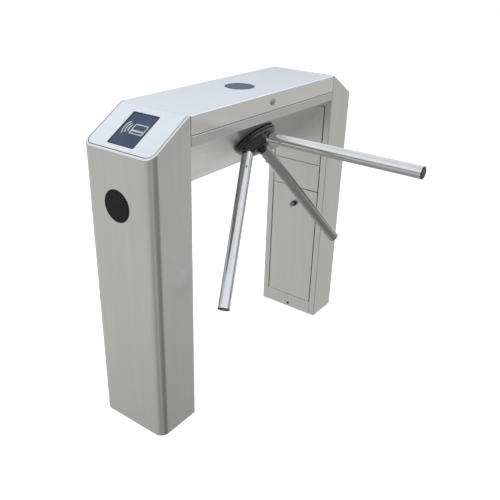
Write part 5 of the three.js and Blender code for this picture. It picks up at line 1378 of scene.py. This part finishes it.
def board_capacitors():
    can = spun([(0, 0.1), (5.2, 0.1), (5.2, 1.6), (4.8, 2.2), (5.2, 2.8), (5.2, 13), (4.4, 13),
                (4.2, 12.8), (0, 12.8)], 0.3, 40)
    return row_of(can, GROUND_STEEL, 3, (40, -27, 0), (13, 0, 0))


def board_resistors():
    ends = [cuboid(x, -1.5, 0.1, x + 1.2, 1.5, 0.9) for x in (-3.2, 2)]
    part = joined(slab(-2.2, -1.6, 2.2, 1.6, 0.3, 1.1, 1, 0.2), *ends)
    return joined(*(row_of(part, GROUND_STEEL, 12, (-60.5, y, 0), (11, 0, 0)) for y in (19, 25)))


def add_built(place, node, *builds):
    """A piece for each function, which has the function's name. The first stands for the node."""
    for i, (build, finish, slot) in enumerate(builds):
        piece(build.__name__, build(), finish, "cabinet", () if i else [node], place)


add_built(ON_BOARD, "control_board",
          (board_plate, BOARD, "circuit_board"), (board_standoffs, BRASS, "brass"),
          (terminal_row, CAP_BLACK, "black_plastic"), (terminal_screws, ZINC, "zinc_plated"),
          (board_chips, CAP_BLACK, "black_plastic"), (chip_pins, ZINC, "zinc_plated"),
          (board_relays, CAP_BLACK, "black_plastic"), (board_capacitors, GROUND_STEEL, "zinc_plated"),
          (board_resistors, GROUND_STEEL, "zinc_plated"))


# Power supply, from its own low corner: x along the beam, y to the back wall
def supply_case():
    """A folded case with round vents in its top and front, on a tray that carries the terminals."""
    shell = cuboid(14, 0, 0, 130, 46, 62)
    inside = cuboid(15.2, 1.2, 1.2, 128.8, 44.8, 60.8)
    top_hole = disc(1.9, 55, 70, 0.2, 16)
    front_hole = moved(disc(1.9, -5, 5, 0.2, 16), spin(QUARTER, "X"))
    step = (VENT_PITCH, 0, 0)
    starts = [VENT_START + VENT_PITCH / 2 * (k % 2) for k in range(6)]
    top = [row_of(top_hole, ZINC, 15, (starts[k], 9 + VENT_PITCH * k, 0), step) for k in range(5)]
    front = [row_of(front_hole, ZINC, 15, (starts[k], 0, 14 + VENT_PITCH * k), step) for k in range(6)]
    foot = joined(cuboid(0, 0, 0, 14.4, 46, 1.2), cuboid(0, 44.8, 0, 14.4, 46, 20))
    return joined(carved(shell, inside, joined(*top), joined(*front)), foot)


def supply_terminals():
    rib = cuboid(-6, -0.6, 10, 6, 0.6, 14.5)
    ribs = row_of(rib, CAP_BLACK, 6, (0, -2.5 * SUPPLY_PITCH, 0), (0, SUPPLY_PITCH, 0))
    return shifted(joined(slab(-6, -20, 6, 20, 0.6, 10.3, 9, 0.4), ribs), x=7.4, y=23)


def supply_screws():
    head = carved(disc(2.5, 10.4, 12.6, 0.4, 20), cuboid(-3, -0.4, 11.8, 3, 0.4, 14))
    return row_of(head, ZINC, 5, (7.4, 23 - 2 * SUPPLY_PITCH, 0), (0, SUPPLY_PITCH, 0))


def supply_inside():
    core = slab(36, 8, 72, 38, 2, 39, 36, 0.6)
    return joined(core, row_of(disc(9, 1.4, 34, 1, 40), COPPER, 2, (92, 23, 0), (22, 0, 0)))


add_built(at(*SUPPLY_CORNER), "power_supply",
          (supply_case, ZINC, "zinc_plated"), (supply_terminals, CAP_BLACK, "black_plastic"),
          (supply_screws, BRASS, "brass"), (supply_inside, CAP_BLACK, "black_plastic"))


# Leads from the readers to the board, clipped to the back wall
def lead_points(side):
    """The route of a lead: out of its reader, down, past its clips and into the board's terminals."""
    terminal = Vector((BOARD_X + side * TERMINAL_X, TERMINAL_Y, TERMINAL_Z))
    reader = [on_reader(side) @ Vector((0, 0, -READER_BACK - drop)) for drop in (0, LEAD_DROP)]
    holds = [(side * (INNER_X + past), inset, drop) for past, inset, drop in LEAD_HOLDS[side]]
    if side > 0:
        holds += [(terminal.x + away, inset, drop) for away, inset, drop in BOARD_HOLDS]
    held = [Vector((x, WALL_Y - inset, HEIGHT - drop)) for x, inset, drop in holds]
    return [*reader, *held, terminal + Vector((0, 0, LEAD_DROP)), terminal]


def lead_cores(side):
    """The bare cores that fan out of the sheath into their terminals."""
    terminal = lead_points(side)[-1]
    cores = []
    for k in (-1, 0, 1):
        reach = k * TERMINALS[2][0] + 0.5 * side
        fan = [(0, 17), (0.15 * reach, 13), (0.9 * reach, 6), (reach, 0), (reach, -5)]
        route = smooth_route([terminal + Vector((x, 0, z)) for x, z in fan], 8)
        cores.append(sheathed(CORE_GREY, route, 0.95))
    return joined(*cores)


def reader_boot():
    """The ribbed strain relief where a lead leaves its reader."""
    ribs = row_of(washer(6.4, 4, -1.5, 0, 0.4, 32), SHEATH, 5, (0, 0, -3.6), (0, 0, -2.5))
    base = washer(7.6, 4, -3, 0.15, 0.5, 32)
    return shifted(joined(base, washer(5.3, 4, -16, -2, 0.4, 32), ribs), z=-READER_BACK)


def wall_clips(side):
    """Saddles that hold a lead off the back wall, where it runs along the beam."""
    clips = []
    loop = moved(washer(5.8, 4.3, -4, 4, 0.4, 32), ALONG_X)
    for place in lead_points(side)[1:-2]:
        if abs(place.x) < BEAM_HALF - 20:
            reach = WALL_Y - place.y
            stem = cuboid(-4, 5, -1, 4, reach - 0.4, 1)
            foot = moved(slab(-4, -9, 4, 9, 2, 1.7 - reach, 1.6, 0.3), spin(QUARTER, "X"))
            clips.append(moved(joined(loop, stem, foot), at(*place)))
    return joined(*clips)


def add_lead(side):
    name = "near" if side < 0 else "far"
    route = smooth_route(lead_points(side), 24)
    sheath = [p for p in route if p.z > TERMINAL_Z + SHEATH_END]
    lead = sheathed(SHEATH, sheath, LEAD_RADIUS)
    paired(name, "lead", lead, SHEATH, "harness", sharp=60)
    paired(name, "lead_cores", lead_cores(side), CORE_GREY, sharp=60)
    paired(name, "lead_boot", reader_boot(), SHEATH, "", on_reader(side))
    paired(name, "lead_clips", wall_clips(side), CAP_BLACK)
    tie = joined(washer(4.8, 3.8, -1.3, 1.3, 0.3, 24), cuboid(3.8, -1.6, -1.8, 6.6, 1.6, 1.8))
    ties = tied(tie, CAP_BLACK, sheath, LEAD_TIES[side])
    paired(name, "lead_ties", ties, CAP_BLACK)


add_lead(-1)
add_lead(1)


# Solenoids and spring on the mechanism plate, in the slanted face's own plane
def solenoid_frame():
    """A folded steel frame about the coil, on two legs; x runs away from the hub and z out of the plate."""
    windows = [rectangle(3, low, 47, high, 1.5) for low, high in ((10.9, 78), (81, 107.1))]
    loop = slab(0, 7.95, 50, 110.05, 3.4, 13.5, 27, 0.4, windows)
    bore = moved(disc(4.6, -5, 38), COIL_AXIS)
    return carved(moved(loop, spin(QUARTER, "X")), bore)


def solenoid_bobbin():
    cheeks = [moved(slab(-14.4, -12, 14.4, 11.6, 2.5, z, 1.6, 0.3, [circle(4.7, 32)]), COIL_CHEEK)
              for z in (-3.3, -45)]
    return joined(moved(washer(8.4, 4.7, 3.4, 46.6, 0.3, 48), COIL_AXIS), *cheeks)


def solenoid_coil():
    winding = shifted(wound(COPPER, 34, 10.2, 38.6, 0.56), z=5.7)
    core = washer(10, 8.2, 5.1, 45, 0.2, 48)
    return moved(joined(core, winding), COIL_AXIS)


def solenoid_screws():
    head = shifted(carved(disc(3.4, 0, 2.6, 0.6, 24), prism(circle(1.5, 6), 1.2, 4)), z=10.95)
    return row_of(head, ZINC, 2, (12, 0, 0), (26, 0, 0))


def index_coil():
    """The lever's spring: five turns and two straight legs."""
    coil = []
    for k in range(SPRING_TURNS * SPRING_STEPS + 1):
        turns = k / SPRING_STEPS
        angle = 2 * math.pi * turns - QUARTER
        coil.append(Vector((SPRING_RADIUS * math.cos(angle), SPRING_RADIUS * math.sin(angle),
                            -SPRING_START - SPRING_PITCH * turns)))
    leg = Vector((SPRING_LEG, 0, 0))
    route = [coil[0] - leg, *coil, coil[-1] + leg]
    return shifted(sheathed(GROUND_STEEL, route, SPRING_WIRE), x=SPRING_X, y=SPRING_Y)


def add_mechanism():
    for name, side in (("left", -1), ("right", 1)):
        place = ON_SLANT @ at(side * SOLENOID_X, SOLENOID_Y) @ Matrix.Diagonal((side, 1, -1, 1))
        paired(name, "coil_frame", solenoid_frame(), HUB_BLACK, "solenoid", place)
        paired(name, "coil_bobbin", solenoid_bobbin(), CAP_BLACK, "", place)
        paired(name, "coil", solenoid_coil(), COPPER, "", place, sharp=60)
        paired(name, "coil_screws", solenoid_screws(), ZINC, "", place)
    piece("index_coil", index_coil(), GROUND_STEEL, "cabinet", ["index_spring"],
          ON_SLANT, sharp=60)


add_mechanism()


# The solids that stay keep their own mesh and take the finish of their slot
def dress_solids():
    for part in frame["record"]["subparts"]:
        solid = frame["nodes"][part["node"]]
        if not solid.hide_render:
            solid.data.materials.clear()
            solid.data.materials.append(SLOT_FINISH[part["material_slot"]])


dress_solids()


# Studio


def studio_world():
    """White to the camera; to the metal, a bright ceiling, a dark horizon and a grey floor with screens."""
    world = bpy.data.worlds.new("studio")
    bpy.context.scene.world = world
    world.use_nodes = True
    world.node_tree.nodes.clear()
    nodes = Nodes(world.node_tree)
    way = nodes.add("ShaderNodeTexCoord")["Generated"]
    split = nodes.add("ShaderNodeSeparateXYZ", {"Vector": way})
    bearing = nodes.add("ShaderNodeMath", {0: split["Y"], 1: split["X"]}, operation="ARCTAN2")["Value"]
    screens = [(degrees / 360, grey(level, (1, 1, 0.98))) for degrees, level in FLOOR_LEVELS]
    around = nodes.ramp(nodes.spread(bearing, -math.pi, math.pi), screens)
    height = nodes.spread(split["Z"], -1, 1)
    floor = nodes.mixed(around, nodes.ramp(height, DEPTH_LEVELS), 1, "MULTIPLY")
    above = nodes.spread(split["Z"], -0.06, 0)
    color = nodes.mixed(floor, nodes.ramp(height, SKY_LEVELS), above)
    lit = nodes.add("ShaderNodeBackground", {"Color": color})["Background"]
    seen = nodes.add("ShaderNodeBackground", {"Color": (1, 1, 1, 1)})["Background"]
    to_camera = nodes.add("ShaderNodeLightPath")["Is Camera Ray"]
    either = nodes.add("ShaderNodeMixShader", {0: to_camera, 1: lit, 2: seen})["Shader"]
    nodes.add("ShaderNodeOutputWorld", {"Surface": either})


# Bearings run from 0 at -X, turning through -Y at 90 and +X at 180
FLOOR_LEVELS = [(0, 0.55), (25, 0.38), (48, 0.34), (56, 0.60), (66, 0.26), (110, 0.20), (132, 0.50),
                (150, 0.54), (180, 0.66), (204, 0.98), (222, 0.92), (240, 0.70), (290, 0.60),
                (314, 0.60), (359.9, 0.55)]
DEPTH_LEVELS = [(0.0, (0.5, 0.5, 0.5)), (0.1, (0.56, 0.56, 0.56)), (0.23, (1, 1, 1)), (1.0, (1, 1, 1))]
SKY_LEVELS = [(0.0, (0.5, 0.5, 0.5)), (0.5, (0.05, 0.05, 0.055)), (0.53, (0.08, 0.08, 0.09)),
              (0.57, (0.62, 0.64, 0.67)), (0.66, (0.88, 0.93, 0.99)), (0.74, (1.00, 1.04, 1.09)),
              (0.80, (1.08, 1.10, 1.12)), (0.90, (0.94, 0.97, 1.00)), (1.0, (0.80, 0.82, 0.84))]
FLOOR_HALF = 14


def soft_light(name, place, target, size, power):
    data = bpy.data.lights.new(name, "AREA")
    data.shape = "RECTANGLE"
    data.size, data.size_y = size
    data.energy = power
    light = linked(name, data)
    light.visible_glossy = False
    aim = (Vector(target) - Vector(place)).to_track_quat("-Z", "Y")
    light.matrix_world = at(*place) @ aim.to_matrix().to_4x4()


def add_floor():
    mesh = bpy.data.meshes.new("floor")
    corners = [(x * FLOOR_HALF, y * FLOOR_HALF, 0) for x, y in ((-1, -1), (1, -1), (1, 1), (-1, 1))]
    mesh.from_pydata(corners, [], [(0, 1, 2, 3)])
    floor = linked("floor", mesh)
    finish = Finish("pale_floor", Roughness=0.9, Specular_IOR_Level=0.1, Emission_Color=(1, 1, 1, 1),
                    Emission_Strength=0.72)
    finish.color(finish.blend(finish.noise(0.7, 2), grey(0.42), grey(0.44)))
    mesh.materials.append(finish.material)
    floor.location.z = -0.0005
    floor.visible_glossy = False
    floor.visible_diffuse = False


studio_world()
soft_light("overhead", (0.0, 0.2, 3.2), (0, 0.25, 0), (3.2, 2.6), 60)
add_floor()
bpy.context.scene.view_settings.view_transform = "Standard"
